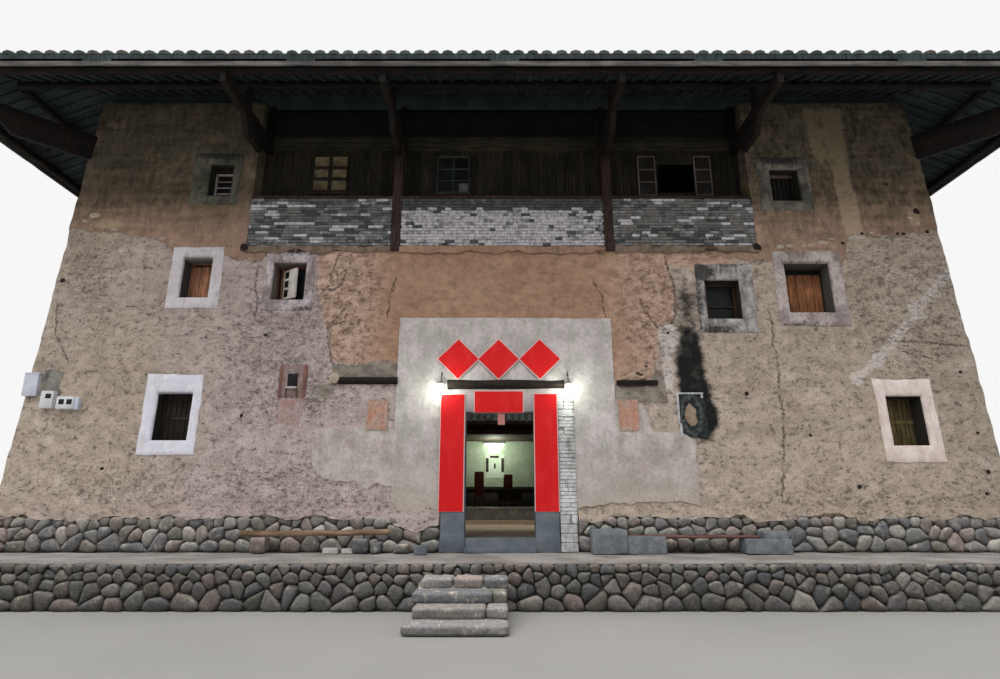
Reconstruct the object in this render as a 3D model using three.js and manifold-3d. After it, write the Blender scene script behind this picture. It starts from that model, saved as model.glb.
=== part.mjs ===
// A square rammed-earth clan house of three storeys round an open courtyard.
// Millimetres, +Z up. The front faces -Y, and Z = 0 is the lower ground in front of the terrace.
import * as THREE from 'three';
import { mergeVertices } from 'three/addons/utils/BufferGeometryUtils.js';
import Module from 'manifold-3d';

const wasm = await Module();
wasm.setup();

// Driving dimensions.
const GAP = 0.3;                    // clearance where two pieces touch
const OVERSHOOT = 10;               // how far a cutter runs past a face
const HALF_WIDTH = 9900;            // half the front, measured at the foot of the earth wall
const DEPTH = 18000;                // front to back, at the same level
const WALL = 1200;                  // thickness of the earth wall at its foot
const BATTER = 0.0425;              // how far the outer faces lean in for each unit of height
const TERRACE_HEIGHT = 720;
const TERRACE_DEPTH = 1940;
const FOOTING_TOP = 1360;
const WALL_TOP = 10780;

const RISERS = 5;                   // the last one is the terrace edge
const TREAD = 362;
const STEPS_LEFT = -1370;
const STEPS_RIGHT = 30;

const FLOOR_GROUND = 870;
const COURTYARD_DROP = 150;
const FLOOR_SECOND = 4470;
const FLOOR_THICKNESS = 160;

const DOOR_LEFT = -770;
const DOOR_RIGHT = 590;
const DOOR_SILL = 976;
const DOOR_HEAD = 3376;
const JAMB_WIDTH = 460;
const JAMB_DEPTH = 420;
const JAMB_PROUD = 15;
const PLINTH_TOP = 1034;
const PLINTH_PROUD = 45;
const LINTEL_HEIGHT = 375;
const THRESHOLD = { proud: 130, height: 95 };
const LOG_BOTTOM = 3850;
const LOG_RADIUS = 100;
const LOG_INSET = 170;              // from the wall's foot line in to the log's axis
const LOG_LEFT = -1170;
const LOG_RIGHT = 1230;

const GALLERY_LEFT = -5650;
const GALLERY_RIGHT = 5540;
const GALLERY_FOOT = 6940;
const GALLERY_BEAM = 120;
const BEAM_PROUD = 35;
const BEAM_TAIL_LEFT = 120;         // how far the bottom beam is built into the wall beside the gallery
const BEAM_TAIL_RIGHT = 80;
const GALLERY_SILL = 8270;          // top of the sill beam over the brick panels
const SILL_BEAM = 70;
const BRICK_WALL = 240;
const POST_LEFT = -2390;
const POST_RIGHT = 2310;
const POST_WIDTH = 200;
const POST_PROUD = 20;
const PLANK_SETBACK = 500;          // from the wall's face at the gallery's foot to the planks
const PLANK_WALL = 60;

const RING = 4900;                  // from an outer face to the courtyard's row of posts
const COURT_POST = 180;
const YARD_EDGE = 300;              // raised walk between the posts and the sunk yard
const EAVE_LINE = -2022;            // the eave, measured inward from the foot of the outer face
const INNER_EAVE = 1300;            // overhang over the courtyard
const ROOF_PITCH = 0.44;
const ROOF_THICKNESS = 300;
const EAVE_UNDERSIDE = 9900;
const FASCIA_BOTTOM = 9860;
const FASCIA = 40;
const RIDGE_INSET = 2850;
const RIDGE_WIDTH = 300;
const RIDGE_HEIGHT = 280;
const HIP_WIDTH = 240;
const HIP_HEIGHT = 160;
const HIP_LIFT = 6;                 // the hip coping beds on mortar, clear of the two slopes
const HIP_FOOT = EAVE_LINE + 130;
const HIP_HEAD = RIDGE_INSET - 20;

const ARM_WIDTH = 120;
const ARM_BOTTOM = 9590;
const ARM_TOP = 9850;
const ARM_REACH = EAVE_LINE + 130;
const LOWER_ARM = { reach: -900, bottom: 9240, slant: 260 };
const LOWER_ARM_TAIL = 600;         // its end inside an earth wall
const LOWER_ARM_FREE = 85;          // its end where the wall is open beside it
const SHORT_TIE_END = 1500;
const EDGE_TIE = 130;               // from the gallery's edge to the tie beam beside it
const BACK_TIES = { outer: 5520, inner: 2350 };
const SIDE_TIES = { outer: 5200, inner: 1370 };
const CORNER_ARM_END = 1100;
const CORNER_ARM_TOP = ARM_TOP - 20;
const PURLIN = 80;                  // radius of a log purlin
const PURLIN_ROWS = [EAVE_LINE + 250, EAVE_LINE + 1350, 1640, RIDGE_INSET, 4000];
const PURLIN_END = 60;              // clearance of a side purlin from the corner's purlins
const STRUT = 110;                  // thickness of the short posts under the purlins
const STRUT_FOOT = 30;
const CORNER_STRUT = 120;
const PLATE = 628;                  // centre line of the plate on top of the wall
const PLATE_WIDTH = 160;

// Sizes that follow from them.
const FLOOR_THIRD = GALLERY_FOOT + GAP + FLOOR_THICKNESS;
const GALLERY_FACE = BATTER * (GALLERY_FOOT - TERRACE_HEIGHT);
const INNER_LINE = RING + INNER_EAVE;
const STEPS_RUN = TREAD * RISERS;
const FRONT_REACH = TERRACE_DEPTH + STEPS_RUN;
const FRONT = -(DEPTH - EAVE_LINE - FRONT_REACH) / 2;
const BACK = FRONT + DEPTH;
const MIDDLE = (FRONT + BACK) / 2;

// Colours and finishes.
const finish = (color, roughness, metalness = 0) => ({ color, roughness, metalness });
const EARTH = finish(0x9c8672, 0.95);
const RUBBLE = finish(0x7b746d, 0.9);
const DRESSED_STONE = finish(0x7f8688, 0.7);
const BRICK = finish(0x73787a, 0.85);
const OLD_TIMBER = finish(0x2f211a, 0.85);
const SHUTTER_TIMBER = finish(0x6e4630, 0.8);
const TILE = finish(0x4c5450, 0.85);
const FLOOR_EARTH = finish(0x7d6f60, 0.95);

// Geometry helpers: boxes by their spans, prisms by an outline, and booleans on closed solids.
function boxSpan(x0, x1, y0, y1, z0, z1) {
  const box = new THREE.BoxGeometry(x1 - x0, y1 - y0, z1 - z0);
  box.translate((x0 + x1) / 2, (y0 + y1) / 2, (z0 + z1) / 2);
  return box;
}

// A straight prism: the outline is drawn in (inward, up) and runs along X from x0 to x1.
// endAt gives the X of an outline point at either end, so an end can be mitred.
function prismAlong(outline, x0, x1, endAt = (x) => x) {
  const shape = new THREE.Shape(outline.map(([inward, up]) => new THREE.Vector2(inward, up)));
  const prism = new THREE.ExtrudeGeometry(shape, { depth: 1, steps: 1, bevelEnabled: false });
  const places = prism.getAttribute('position');
  for (let i = 0; i < places.count; i += 1) {
    const inward = places.getX(i);
    const up = places.getY(i);
    const end = places.getZ(i) > 0.5 ? x1 : x0;
    places.setXYZ(i, endAt(end, inward), inward, up);
  }
  return prism;
}

function toSolid(geometry) {
  const bare = geometry.index ? geometry.toNonIndexed() : geometry.clone();
  bare.deleteAttribute('normal');
  bare.deleteAttribute('uv');
  const merged = mergeVertices(bare, 1e-3);
  return new wasm.Manifold(new wasm.Mesh({
    numProp: 3,
    vertProperties: new Float32Array(merged.getAttribute('position').array),
    triVerts: new Uint32Array(merged.index.array),
  }));
}

function toGeometry(solid) {
  const mesh = solid.getMesh();
  const geometry = new THREE.BufferGeometry();
  geometry.setAttribute('position', new THREE.BufferAttribute(new Float32Array(mesh.vertProperties), 3));
  geometry.setIndex(new THREE.BufferAttribute(new Uint32Array(mesh.triVerts), 1));
  return geometry;
}

function fuse(geometries) {
  return toGeometry(geometries.map(toSolid).reduce((whole, next) => whole.add(next)));
}

function cut(geometry, cutters) {
  return toGeometry(cutters.map(toSolid).reduce((whole, next) => whole.subtract(next), toSolid(geometry)));
}

function common(geometry, other) {
  return toGeometry(toSolid(geometry).intersect(toSolid(other)));
}

// The four wings share one drawing: X runs along the wing and Y inward from the foot of its outer face.
const WINGS = {
  front: { half: HALF_WIDTH, turn: 0, at: [0, FRONT] },
  back: { half: HALF_WIDTH, turn: Math.PI, at: [0, BACK] },
  left: { half: DEPTH / 2, turn: -Math.PI / 2, at: [-HALF_WIDTH, MIDDLE] },
  right: { half: DEPTH / 2, turn: Math.PI / 2, at: [HALF_WIDTH, MIDDLE] },
};

function toWing(geometry, name) {
  const { turn, at } = WINGS[name];
  const turned = new THREE.Matrix4().makeRotationZ(turn);
  return geometry.clone().applyMatrix4(turned).translate(at[0], at[1], 0);
}

const house = new THREE.Group();

function addPiece(name, geometry, look) {
  geometry.computeVertexNormals();
  const mesh = new THREE.Mesh(geometry, new THREE.MeshStandardMaterial(look));
  mesh.name = name;
  house.add(mesh);
}

// Terrace and steps: one mass of stone and fill in front of the wall.
const terraceBack = FRONT - GAP;
const terraceFront = FRONT - TERRACE_DEPTH;
addPiece('terrace', boxSpan(-HALF_WIDTH, HALF_WIDTH, terraceFront, terraceBack, 0, TERRACE_HEIGHT), RUBBLE);

function frontSteps() {
  const rise = TERRACE_HEIGHT / RISERS;
  const foot = terraceFront - GAP;
  const outline = [[foot, 0], [foot, rise * (RISERS - 1)]];
  for (let step = RISERS - 1; step > 0; step -= 1) {
    const nose = foot - TREAD * (RISERS - step) - (step === 1 ? TREAD - GAP : 0);
    outline.push([nose, rise * step]);
    outline.push([nose, rise * (step - 1)]);
  }
  return prismAlong(outline, STEPS_LEFT, STEPS_RIGHT);
}
addPiece('front_steps', frontSteps(), RUBBLE);

// Footing: rubble under the four walls, with a notch for the door's threshold.
const frameLeft = DOOR_LEFT - JAMB_WIDTH;
const frameRight = DOOR_RIGHT + JAMB_WIDTH;

function stoneFooting() {
  const outer = boxSpan(-HALF_WIDTH, HALF_WIDTH, FRONT, BACK, 0, FOOTING_TOP);
  const inner = boxSpan(-HALF_WIDTH + WALL, HALF_WIDTH - WALL, FRONT + WALL, BACK - WALL,
    -OVERSHOOT, FOOTING_TOP + OVERSHOOT);
  const passage = boxSpan(frameLeft - GAP, frameRight + GAP, FRONT - OVERSHOOT, FRONT + WALL + OVERSHOOT,
    TERRACE_HEIGHT, FOOTING_TOP + OVERSHOOT);
  return cut(outer, [inner, passage]);
}
addPiece('stone_footing', stoneFooting(), RUBBLE);

// Ground floor: rammed fill inside the footing, sunk where the courtyard is open to the sky.
function groundFloor() {
  const inset = WALL + GAP;
  const slab = boxSpan(-HALF_WIDTH + inset, HALF_WIDTH - inset, FRONT + inset, BACK - inset, 0, FLOOR_GROUND);
  const edge = RING + YARD_EDGE;
  const yard = boxSpan(-HALF_WIDTH + edge, HALF_WIDTH - edge, FRONT + edge, BACK - edge,
    FLOOR_GROUND - COURTYARD_DROP, FLOOR_GROUND + OVERSHOOT);
  return cut(slab, [yard]);
}
addPiece('ground_floor', groundFloor(), FLOOR_EARTH);

// Roof frames, one to a wing: tie beams that run out through the wall as eave arms, each with a shorter arm
// under it, and short posts that carry log purlins.
const undersideAt = (inward) => (inward < RIDGE_INSET
  ? EAVE_UNDERSIDE + ROOF_PITCH * (inward - EAVE_LINE)
  : EAVE_UNDERSIDE + ROOF_PITCH * (2 * RIDGE_INSET - EAVE_LINE - inward));
const PURLIN_DROP = (PURLIN + GAP) * Math.hypot(1, ROOF_PITCH);
const purlinHeight = (inward) => undersideAt(inward) - PURLIN_DROP;

// Each tie has its place along the wing, its inner end, and the inner end of the shorter arm under it.
const COURT_END = RING - COURT_POST / 2 - GAP;
const POST_LINE = GALLERY_FACE - POST_PROUD - GAP;
const evenTies = ({ outer, inner }) => [-outer, -inner, inner, outer].map((along) => ({
  along, end: Math.abs(along) === outer ? SHORT_TIE_END : COURT_END, lowerEnd: LOWER_ARM_TAIL,
}));
const TIES = {
  front: [
    { along: GALLERY_LEFT + EDGE_TIE, end: SHORT_TIE_END, lowerEnd: LOWER_ARM_FREE },
    { along: POST_LEFT, end: COURT_END, lowerEnd: POST_LINE },
    { along: POST_RIGHT, end: COURT_END, lowerEnd: POST_LINE },
    { along: GALLERY_RIGHT - EDGE_TIE, end: SHORT_TIE_END, lowerEnd: LOWER_ARM_FREE },
  ],
  back: evenTies(BACK_TIES),
  left: evenTies(SIDE_TIES),
  right: evenTies(SIDE_TIES),
};

// An arm's side view in (inward, up): a straight beam with the shorter arm's slanted end under it.
const armOutline = (outer, end, lowerEnd, top, grow) => [
  [outer - grow, ARM_BOTTOM - grow], [outer - grow, top + grow], [end + grow, top + grow],
  [end + grow, ARM_BOTTOM - grow], [lowerEnd + grow, ARM_BOTTOM - grow],
  [lowerEnd + grow, LOWER_ARM.bottom - grow],
  [LOWER_ARM.reach + LOWER_ARM.slant - grow, LOWER_ARM.bottom - grow],
  [LOWER_ARM.reach - grow, ARM_BOTTOM - grow],
];

function tieBeam({ along, end, lowerEnd }, grow = 0) {
  const side = ARM_WIDTH / 2 + grow;
  return prismAlong(armOutline(ARM_REACH, end, lowerEnd, ARM_TOP, grow), along - side, along + side);
}

// The corner arm runs out on the diagonal from the wall's corner, under the hip.
function cornerArm(end, half, grow = 0) {
  const side = ARM_WIDTH / 2 + grow;
  const outline = armOutline(PURLIN_ROWS[0], CORNER_ARM_END, LOWER_ARM_TAIL, CORNER_ARM_TOP, grow);
  const arm = prismAlong(outline, -side, side);
  const places = arm.getAttribute('position');
  for (let i = 0; i < places.count; i += 1) {
    const across = places.getX(i) / Math.SQRT2;
    const inward = places.getY(i);
    places.setXYZ(i, end * (half - inward) + across, inward + end * across, places.getZ(i));
  }
  return arm;
}

function roundPurlin(inward, reach) {
  const log = new THREE.CylinderGeometry(PURLIN, PURLIN, 2 * reach, 8);
  log.rotateZ(Math.PI / 2);
  log.translate(0, inward, purlinHeight(inward));
  return log;
}

const strut = (along, inward, top) => boxSpan(along - STRUT / 2, along + STRUT / 2,
  inward - STRUT / 2, inward + STRUT / 2, ARM_TOP - STRUT_FOOT, top);

function roofFrame(name) {
  const { half } = WINGS[name];
  const endsRun = name === 'front' || name === 'back';
  const pieces = [];
  for (const tie of TIES[name]) {
    pieces.push(tieBeam(tie));
    if (name === 'front') pieces.push(strut(tie.along, PLATE, WALL_TOP));
    for (const inward of PURLIN_ROWS.slice(1)) {
      if (inward < tie.end) pieces.push(strut(tie.along, inward, purlinHeight(inward)));
    }
  }
  for (const inward of PURLIN_ROWS) {
    const reach = endsRun ? half - inward : half - inward - PURLIN - PURLIN_END - GAP;
    pieces.push(roundPurlin(inward, reach));
  }
  if (endsRun) {
    const [outer] = PURLIN_ROWS;
    const side = CORNER_STRUT / 2;
    for (const end of [-1, 1]) {
      const corner = end * (half - outer);
      pieces.push(cornerArm(end, half));
      pieces.push(boxSpan(corner - side, corner + side, outer - side, outer + side,
        ARM_BOTTOM, purlinHeight(outer)));
    }
  }
  return fuse(pieces);
}

for (const name of Object.keys(WINGS)) {
  addPiece(`roof_frame_${name}`, toWing(roofFrame(name), name), OLD_TIMBER);
}

// Earth walls: battered outside, upright inside, and notched for every beam end.
const leanAt = (up) => BATTER * (up - TERRACE_HEIGHT);

function batteredBlock() {
  const bottom = leanAt(FOOTING_TOP);
  const top = leanAt(WALL_TOP);
  const block = boxSpan(-1, 1, -1, 1, FOOTING_TOP + GAP, WALL_TOP);
  const places = block.getAttribute('position');
  for (let i = 0; i < places.count; i += 1) {
    const lean = places.getZ(i) > (FOOTING_TOP + WALL_TOP) / 2 ? top : bottom;
    places.setX(i, places.getX(i) * (HALF_WIDTH - lean));
    places.setY(i, MIDDLE + places.getY(i) * (DEPTH / 2 - lean));
  }
  return block;
}

// Front windows: centre and size of the opening, how deep the frame sits, and what closes it.
const WINDOWS = [
  { name: 'window_ground_left', x: -6695, z: 3305, w: 730, h: 990, deep: 330, kind: 'boarded' },
  { name: 'window_ground_right', x: 8105, z: 3220, w: 750, h: 1020, deep: 330, kind: 'boarded' },
  { name: 'window_second_left_outer', x: -6650, z: 6320, w: 640, h: 940, deep: 360, kind: 'boarded' },
  { name: 'window_second_left_inner', x: -4645, z: 6240, w: 730, h: 880, deep: 300, kind: 'half_open' },
  { name: 'window_second_right_inner', x: 4685, z: 5820, w: 770, h: 900, deep: 300, kind: 'open' },
  { name: 'window_second_right_outer', x: 6550, z: 6085, w: 1000, h: 1150, deep: 360, kind: 'boarded' },
  { name: 'window_third_left', x: -6430, z: 8700, w: 560, h: 820, deep: 300, kind: 'boarded' },
  { name: 'window_third_right', x: 6370, z: 8570, w: 680, h: 820, deep: 300, kind: 'open' },
];
// Windows of the hidden walls: rows repeated from the front's upper storeys.
const ROW_WINDOW = { w: 700, h: 900 };
const ROW_HEIGHTS = [6200, 8640];
const SIDE_ROW = [-3200, 0, 3200];
const BACK_ROW = [-6400, 0, 6400];

const windowHole = ({ x, z, w, h }) => boxSpan(x - w / 2, x + w / 2,
  -OVERSHOOT, WALL + OVERSHOOT, z - h / 2, z + h / 2);
const rowHoles = (row) => ROW_HEIGHTS.flatMap((z) => row.map((x) => windowHole({ x, z, ...ROW_WINDOW })));

const doorPocket = boxSpan(frameLeft - GAP, frameRight + GAP, FRONT - OVERSHOOT,
  FRONT + WALL + OVERSHOOT, 0, DOOR_HEAD + LINTEL_HEIGHT + GAP);
const logAxis = FRONT + LOG_INSET;
const logPocket = boxSpan(LOG_LEFT - GAP, LOG_RIGHT + GAP, FRONT - OVERSHOOT, logAxis + LOG_RADIUS + GAP,
  LOG_BOTTOM - GAP, LOG_BOTTOM + 2 * LOG_RADIUS + GAP);
const galleryPocket = boxSpan(GALLERY_LEFT, GALLERY_RIGHT, FRONT - OVERSHOOT, FRONT + WALL + OVERSHOOT,
  GALLERY_FOOT, WALL_TOP + OVERSHOOT);
const beamLeft = GALLERY_LEFT - BEAM_TAIL_LEFT;
const beamRight = GALLERY_RIGHT + BEAM_TAIL_RIGHT;
const beamFront = FRONT + GALLERY_FACE - BEAM_PROUD;
const beamBack = FRONT + GALLERY_FACE + BRICK_WALL;
const beamEndPocket = boxSpan(beamLeft - GAP, beamRight + GAP, FRONT - OVERSHOOT, beamBack + GAP,
  GALLERY_FOOT, GALLERY_FOOT + GALLERY_BEAM + 2 * GAP);

function wallBetween(x0, x1, y0, y1, cutters) {
  const zone = boxSpan(x0, x1, y0, y1, 0, WALL_TOP + OVERSHOOT);
  return cut(common(batteredBlock(), zone), cutters);
}

const armPockets = (name) => [
  ...TIES[name].map((tie) => toWing(tieBeam(tie, GAP), name)),
  ...[-1, 1].flatMap((end) => (name === 'front' || name === 'back'
    ? [toWing(cornerArm(end, HALF_WIDTH, GAP), name)] : [])),
];
const frontHoles = WINDOWS.map((hole) => toWing(windowHole(hole), 'front'));
const overDoorLeft = frameLeft - GAP;
const overDoorRight = frameRight + GAP;
const farLeft = -HALF_WIDTH - OVERSHOOT;
const farRight = HALF_WIDTH + OVERSHOOT;
const farFront = FRONT - OVERSHOOT;
const frontCutters = [
  doorPocket, logPocket, galleryPocket, beamEndPocket, ...armPockets('front'), ...frontHoles,
];

addPiece('front_wall_left',
  wallBetween(farLeft, overDoorLeft - GAP, farFront, FRONT + WALL, frontCutters), EARTH);
addPiece('front_wall_right',
  wallBetween(overDoorRight + GAP, farRight, farFront, FRONT + WALL, frontCutters), EARTH);
addPiece('front_wall_over_door',
  wallBetween(overDoorLeft, overDoorRight, farFront, FRONT + WALL, frontCutters), EARTH);
addPiece('back_wall', wallBetween(farLeft, farRight, BACK - WALL, BACK + OVERSHOOT, [
  ...armPockets('back'), ...rowHoles(BACK_ROW).map((hole) => toWing(hole, 'back')),
]), EARTH);
for (const [name, x0, x1] of [
  ['left', farLeft, -HALF_WIDTH + WALL], ['right', HALF_WIDTH - WALL, farRight],
]) {
  addPiece(`side_wall_${name}`, wallBetween(x0, x1, FRONT + WALL + GAP, BACK - WALL - GAP, [
    ...armPockets(name), ...rowHoles(SIDE_ROW).map((hole) => toWing(hole, name)),
    ...armPockets('front'), ...armPockets('back'),
  ]), EARTH);
}

// Door frame: dressed stone jambs on plinth blocks, a stone lintel, a stepped threshold, and a log above.
for (const [name, x0, x1] of [['left', frameLeft, DOOR_LEFT], ['right', DOOR_RIGHT, frameRight]]) {
  addPiece(`door_jamb_${name}`, fuse([
    boxSpan(x0, x1, FRONT - JAMB_PROUD, FRONT + JAMB_DEPTH, PLINTH_TOP - OVERSHOOT, DOOR_HEAD - GAP),
    boxSpan(x0, x1, FRONT - PLINTH_PROUD, FRONT + JAMB_DEPTH, TERRACE_HEIGHT + GAP, PLINTH_TOP),
  ]), DRESSED_STONE);
}
addPiece('door_lintel', boxSpan(frameLeft, frameRight, FRONT - JAMB_PROUD, FRONT + JAMB_DEPTH,
  DOOR_HEAD, DOOR_HEAD + LINTEL_HEIGHT), DRESSED_STONE);

function doorThreshold() {
  const bottom = TERRACE_HEIGHT + GAP;
  const ledge = bottom + THRESHOLD.height;
  const outline = [
    [FRONT - THRESHOLD.proud, bottom], [FRONT - THRESHOLD.proud, ledge],
    [FRONT - OVERSHOOT, ledge], [FRONT - OVERSHOOT, DOOR_SILL],
    [FRONT + JAMB_DEPTH, DOOR_SILL], [FRONT + JAMB_DEPTH, FLOOR_GROUND],
    [FRONT + WALL - GAP, FLOOR_GROUND], [FRONT + WALL - GAP, bottom],
  ];
  const sill = prismAlong(outline, DOOR_LEFT + GAP, DOOR_RIGHT - GAP);
  const paving = boxSpan(frameLeft, frameRight, FRONT + JAMB_DEPTH + GAP, FRONT + WALL - GAP,
    bottom, FLOOR_GROUND);
  return fuse([sill, paving]);
}
addPiece('door_threshold', doorThreshold(), DRESSED_STONE);

function timberLintel() {
  const log = new THREE.CylinderGeometry(LOG_RADIUS, LOG_RADIUS, LOG_RIGHT - LOG_LEFT, 12);
  log.rotateZ(Math.PI / 2);
  log.translate((LOG_LEFT + LOG_RIGHT) / 2, logAxis, LOG_BOTTOM + LOG_RADIUS);
  return log;
}
addPiece('door_timber_lintel', timberLintel(), OLD_TIMBER);

// Gallery: bottom beam, posts and sill beam in one timber frame, with brick panels between the posts.
const postFront = FRONT + GALLERY_FACE - POST_PROUD;
const sillBottom = GALLERY_SILL - SILL_BEAM;
addPiece('gallery_frame', fuse([
  boxSpan(beamLeft, beamRight, beamFront, beamBack, GALLERY_FOOT + GAP, GALLERY_FOOT + GALLERY_BEAM),
  boxSpan(GALLERY_LEFT + GAP, GALLERY_RIGHT - GAP, postFront, beamBack, sillBottom, GALLERY_SILL),
  ...[POST_LEFT, POST_RIGHT].map((x) => boxSpan(x - POST_WIDTH / 2, x + POST_WIDTH / 2, postFront,
    beamBack, GALLERY_FOOT + GALLERY_BEAM - OVERSHOOT, ARM_BOTTOM - GAP)),
]), OLD_TIMBER);

for (const [name, x0, x1] of [
  ['left', GALLERY_LEFT, POST_LEFT - POST_WIDTH / 2],
  ['middle', POST_LEFT + POST_WIDTH / 2, POST_RIGHT - POST_WIDTH / 2],
  ['right', POST_RIGHT + POST_WIDTH / 2, GALLERY_RIGHT],
]) {
  addPiece(`parapet_${name}`, boxSpan(x0 + GAP, x1 - GAP, FRONT + GALLERY_FACE, beamBack,
    GALLERY_FOOT + GALLERY_BEAM + GAP, sillBottom - GAP), BRICK);
}

// Plank wall behind the panels, with the one open window and its sashes folded back on either side.
const OPEN_WINDOW = { left: 3605, right: 4475, bottom: 8610, top: 9670 };
const SASH = { width: 425, thickness: 35 };
function plankWall() {
  const front = FRONT + GALLERY_FACE + PLANK_SETBACK;
  const wall = boxSpan(GALLERY_LEFT + GAP, GALLERY_RIGHT - GAP, front, front + PLANK_WALL,
    FLOOR_THIRD + GAP, WALL_TOP);
  const { left, right, bottom, top } = OPEN_WINDOW;
  const hole = boxSpan(left, right, front - OVERSHOOT, front + PLANK_WALL + OVERSHOOT, bottom, top);
  const sashes = [left - SASH.width, right].map((x) => boxSpan(x, x + SASH.width,
    front - SASH.thickness, front + OVERSHOOT, bottom, top));
  const pockets = TIES.front.map((tie) => toWing(tieBeam(tie, GAP), 'front'));
  return cut(fuse([wall, ...sashes]), [hole, ...pockets]);
}
addPiece('gallery_plank_wall', plankWall(), OLD_TIMBER);

// Windows of the front: a timber frame set deep in the wall, boarded, half open or empty.
const FRAME_BAR = 55;
const FRAME_DEPTH = 80;
const BOARD = 30;
const REBATE = 5;
const HALF_OPEN_EDGE = 0.1;         // the swung sash's free edge, as a share of the width from the middle
function windowPiece({ x, z, w, h, deep, kind }) {
  const face = FRONT + leanAt(z) + deep;
  const [x0, x1] = [x - w / 2 + GAP, x + w / 2 - GAP];
  const [z0, z1] = [z - h / 2 + GAP, z + h / 2 - GAP];
  const block = boxSpan(x0, x1, face, face + FRAME_DEPTH, z0, z1);
  const light = (left, from, to) => boxSpan(left, x1 - FRAME_BAR, face + from, face + to,
    z0 + FRAME_BAR, z1 - FRAME_BAR);
  const open = light(x0 + FRAME_BAR, -OVERSHOOT, FRAME_DEPTH + OVERSHOOT);
  if (kind === 'boarded') {
    return cut(block, [light(x0 + FRAME_BAR, -OVERSHOOT, FRAME_DEPTH - BOARD)]);
  }
  if (kind === 'half_open') {
    const sashFace = face + FRAME_DEPTH / 4;
    const sash = boxSpan(x - w * HALF_OPEN_EDGE, x1 - FRAME_BAR + REBATE, sashFace, sashFace + BOARD,
      z0 + FRAME_BAR - REBATE, z1 - FRAME_BAR + REBATE);
    return fuse([cut(block, [open]), sash]);
  }
  return cut(block, [open]);
}
for (const window of WINDOWS) addPiece(window.name, windowPiece(window), SHUTTER_TIMBER);

// Floors: boarded rings between the earth walls and the courtyard posts.
function floorRing(top, tongue) {
  const inset = WALL + GAP;
  const bottom = top - FLOOR_THICKNESS;
  const ring = boxSpan(-HALF_WIDTH + inset, HALF_WIDTH - inset, FRONT + inset, BACK - inset, bottom, top);
  const well = boxSpan(-HALF_WIDTH + COURT_END, HALF_WIDTH - COURT_END, FRONT + COURT_END,
    BACK - COURT_END, bottom - OVERSHOOT, top + OVERSHOOT);
  const floor = cut(ring, [well]);
  if (!tongue) return floor;
  return fuse([floor, boxSpan(GALLERY_LEFT + GAP, GALLERY_RIGHT - GAP, beamBack + GAP,
    FRONT + inset + OVERSHOOT, bottom, top)]);
}
addPiece('floor_second', floorRing(FLOOR_SECOND, false), SHUTTER_TIMBER);
addPiece('floor_third', floorRing(FLOOR_THIRD, true), SHUTTER_TIMBER);

// Courtyard frames: posts through all storeys, floor beams, low boarded rails and a top plate.
const COURT_BEAM = 220;
const RAIL_HEIGHT = 900;
const RAIL_BOARD = 50;
const RAIL_FOOT = 20;
const plateTop = undersideAt(RING + COURT_POST / 2) - GAP;
const PENT = { reach: 900, top: 5060, drop: 380, thickness: 110 };
function courtyardFrame(name) {
  const endsRun = name === 'front' || name === 'back';
  const { half } = WINGS[name];
  const corner = half - RING;
  const run = endsRun ? corner : corner - COURT_POST / 2 - GAP;
  const inside = TIES[name].filter((tie) => tie.end === COURT_END).map((tie) => tie.along);
  const posts = endsRun ? [-corner, ...inside, corner] : inside;
  const near = RING - COURT_POST / 2;
  const far = RING + COURT_POST / 2;
  const pieces = posts.map((x) => boxSpan(x - COURT_POST / 2, x + COURT_POST / 2, near, far,
    FLOOR_GROUND + GAP, plateTop));
  pieces.push(boxSpan(-run, run, near, far, plateTop - COURT_BEAM, plateTop));
  for (const floor of [FLOOR_SECOND, FLOOR_THIRD]) {
    pieces.push(boxSpan(-run, run, near, far, floor - COURT_BEAM, floor));
    pieces.push(boxSpan(-run, run, RING - RAIL_BOARD / 2, RING + RAIL_BOARD / 2, floor - RAIL_FOOT,
      floor + RAIL_HEIGHT));
  }
  if (name === 'back') {
    const outline = [[RING, PENT.top], [RING + PENT.reach, PENT.top - PENT.drop],
      [RING + PENT.reach, PENT.top - PENT.drop - PENT.thickness], [RING, PENT.top - PENT.thickness]];
    const reach = run - COURT_POST;
    pieces.push(prismAlong(outline, -reach, reach));
  }
  return fuse(pieces);
}
for (const name of Object.keys(WINGS)) {
  addPiece(`courtyard_frame_${name}`, toWing(courtyardFrame(name), name), OLD_TIMBER);
}

// Roof: one folded slab to a wing, mitred on the hips and valleys, with fascias and a wall plate below.
const topAt = (inward) => undersideAt(inward) + ROOF_THICKNESS;
function roofWing(name) {
  const innerFascia = undersideAt(INNER_LINE) - (EAVE_UNDERSIDE - FASCIA_BOTTOM);
  const outline = [
    [EAVE_LINE, FASCIA_BOTTOM], [EAVE_LINE + FASCIA, FASCIA_BOTTOM],
    [EAVE_LINE + FASCIA, undersideAt(EAVE_LINE + FASCIA)],
    [PLATE - PLATE_WIDTH / 2, undersideAt(PLATE - PLATE_WIDTH / 2)],
    [PLATE - PLATE_WIDTH / 2, WALL_TOP + GAP], [PLATE + PLATE_WIDTH / 2, WALL_TOP + GAP],
    [PLATE + PLATE_WIDTH / 2, undersideAt(PLATE + PLATE_WIDTH / 2)],
    [RIDGE_INSET, undersideAt(RIDGE_INSET)],
    [INNER_LINE - FASCIA, undersideAt(INNER_LINE - FASCIA)],
    [INNER_LINE - FASCIA, innerFascia], [INNER_LINE, innerFascia], [INNER_LINE, topAt(INNER_LINE)],
    [RIDGE_INSET, topAt(RIDGE_INSET)], [EAVE_LINE, topAt(EAVE_LINE)],
  ];
  const { half } = WINGS[name];
  const wing = prismAlong(outline, -half, half,
    (end, inward) => Math.sign(end) * (half - inward - GAP));
  return toWing(wing, name);
}
for (const name of Object.keys(WINGS)) addPiece(`roof_${name}`, roofWing(name), TILE);

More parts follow.
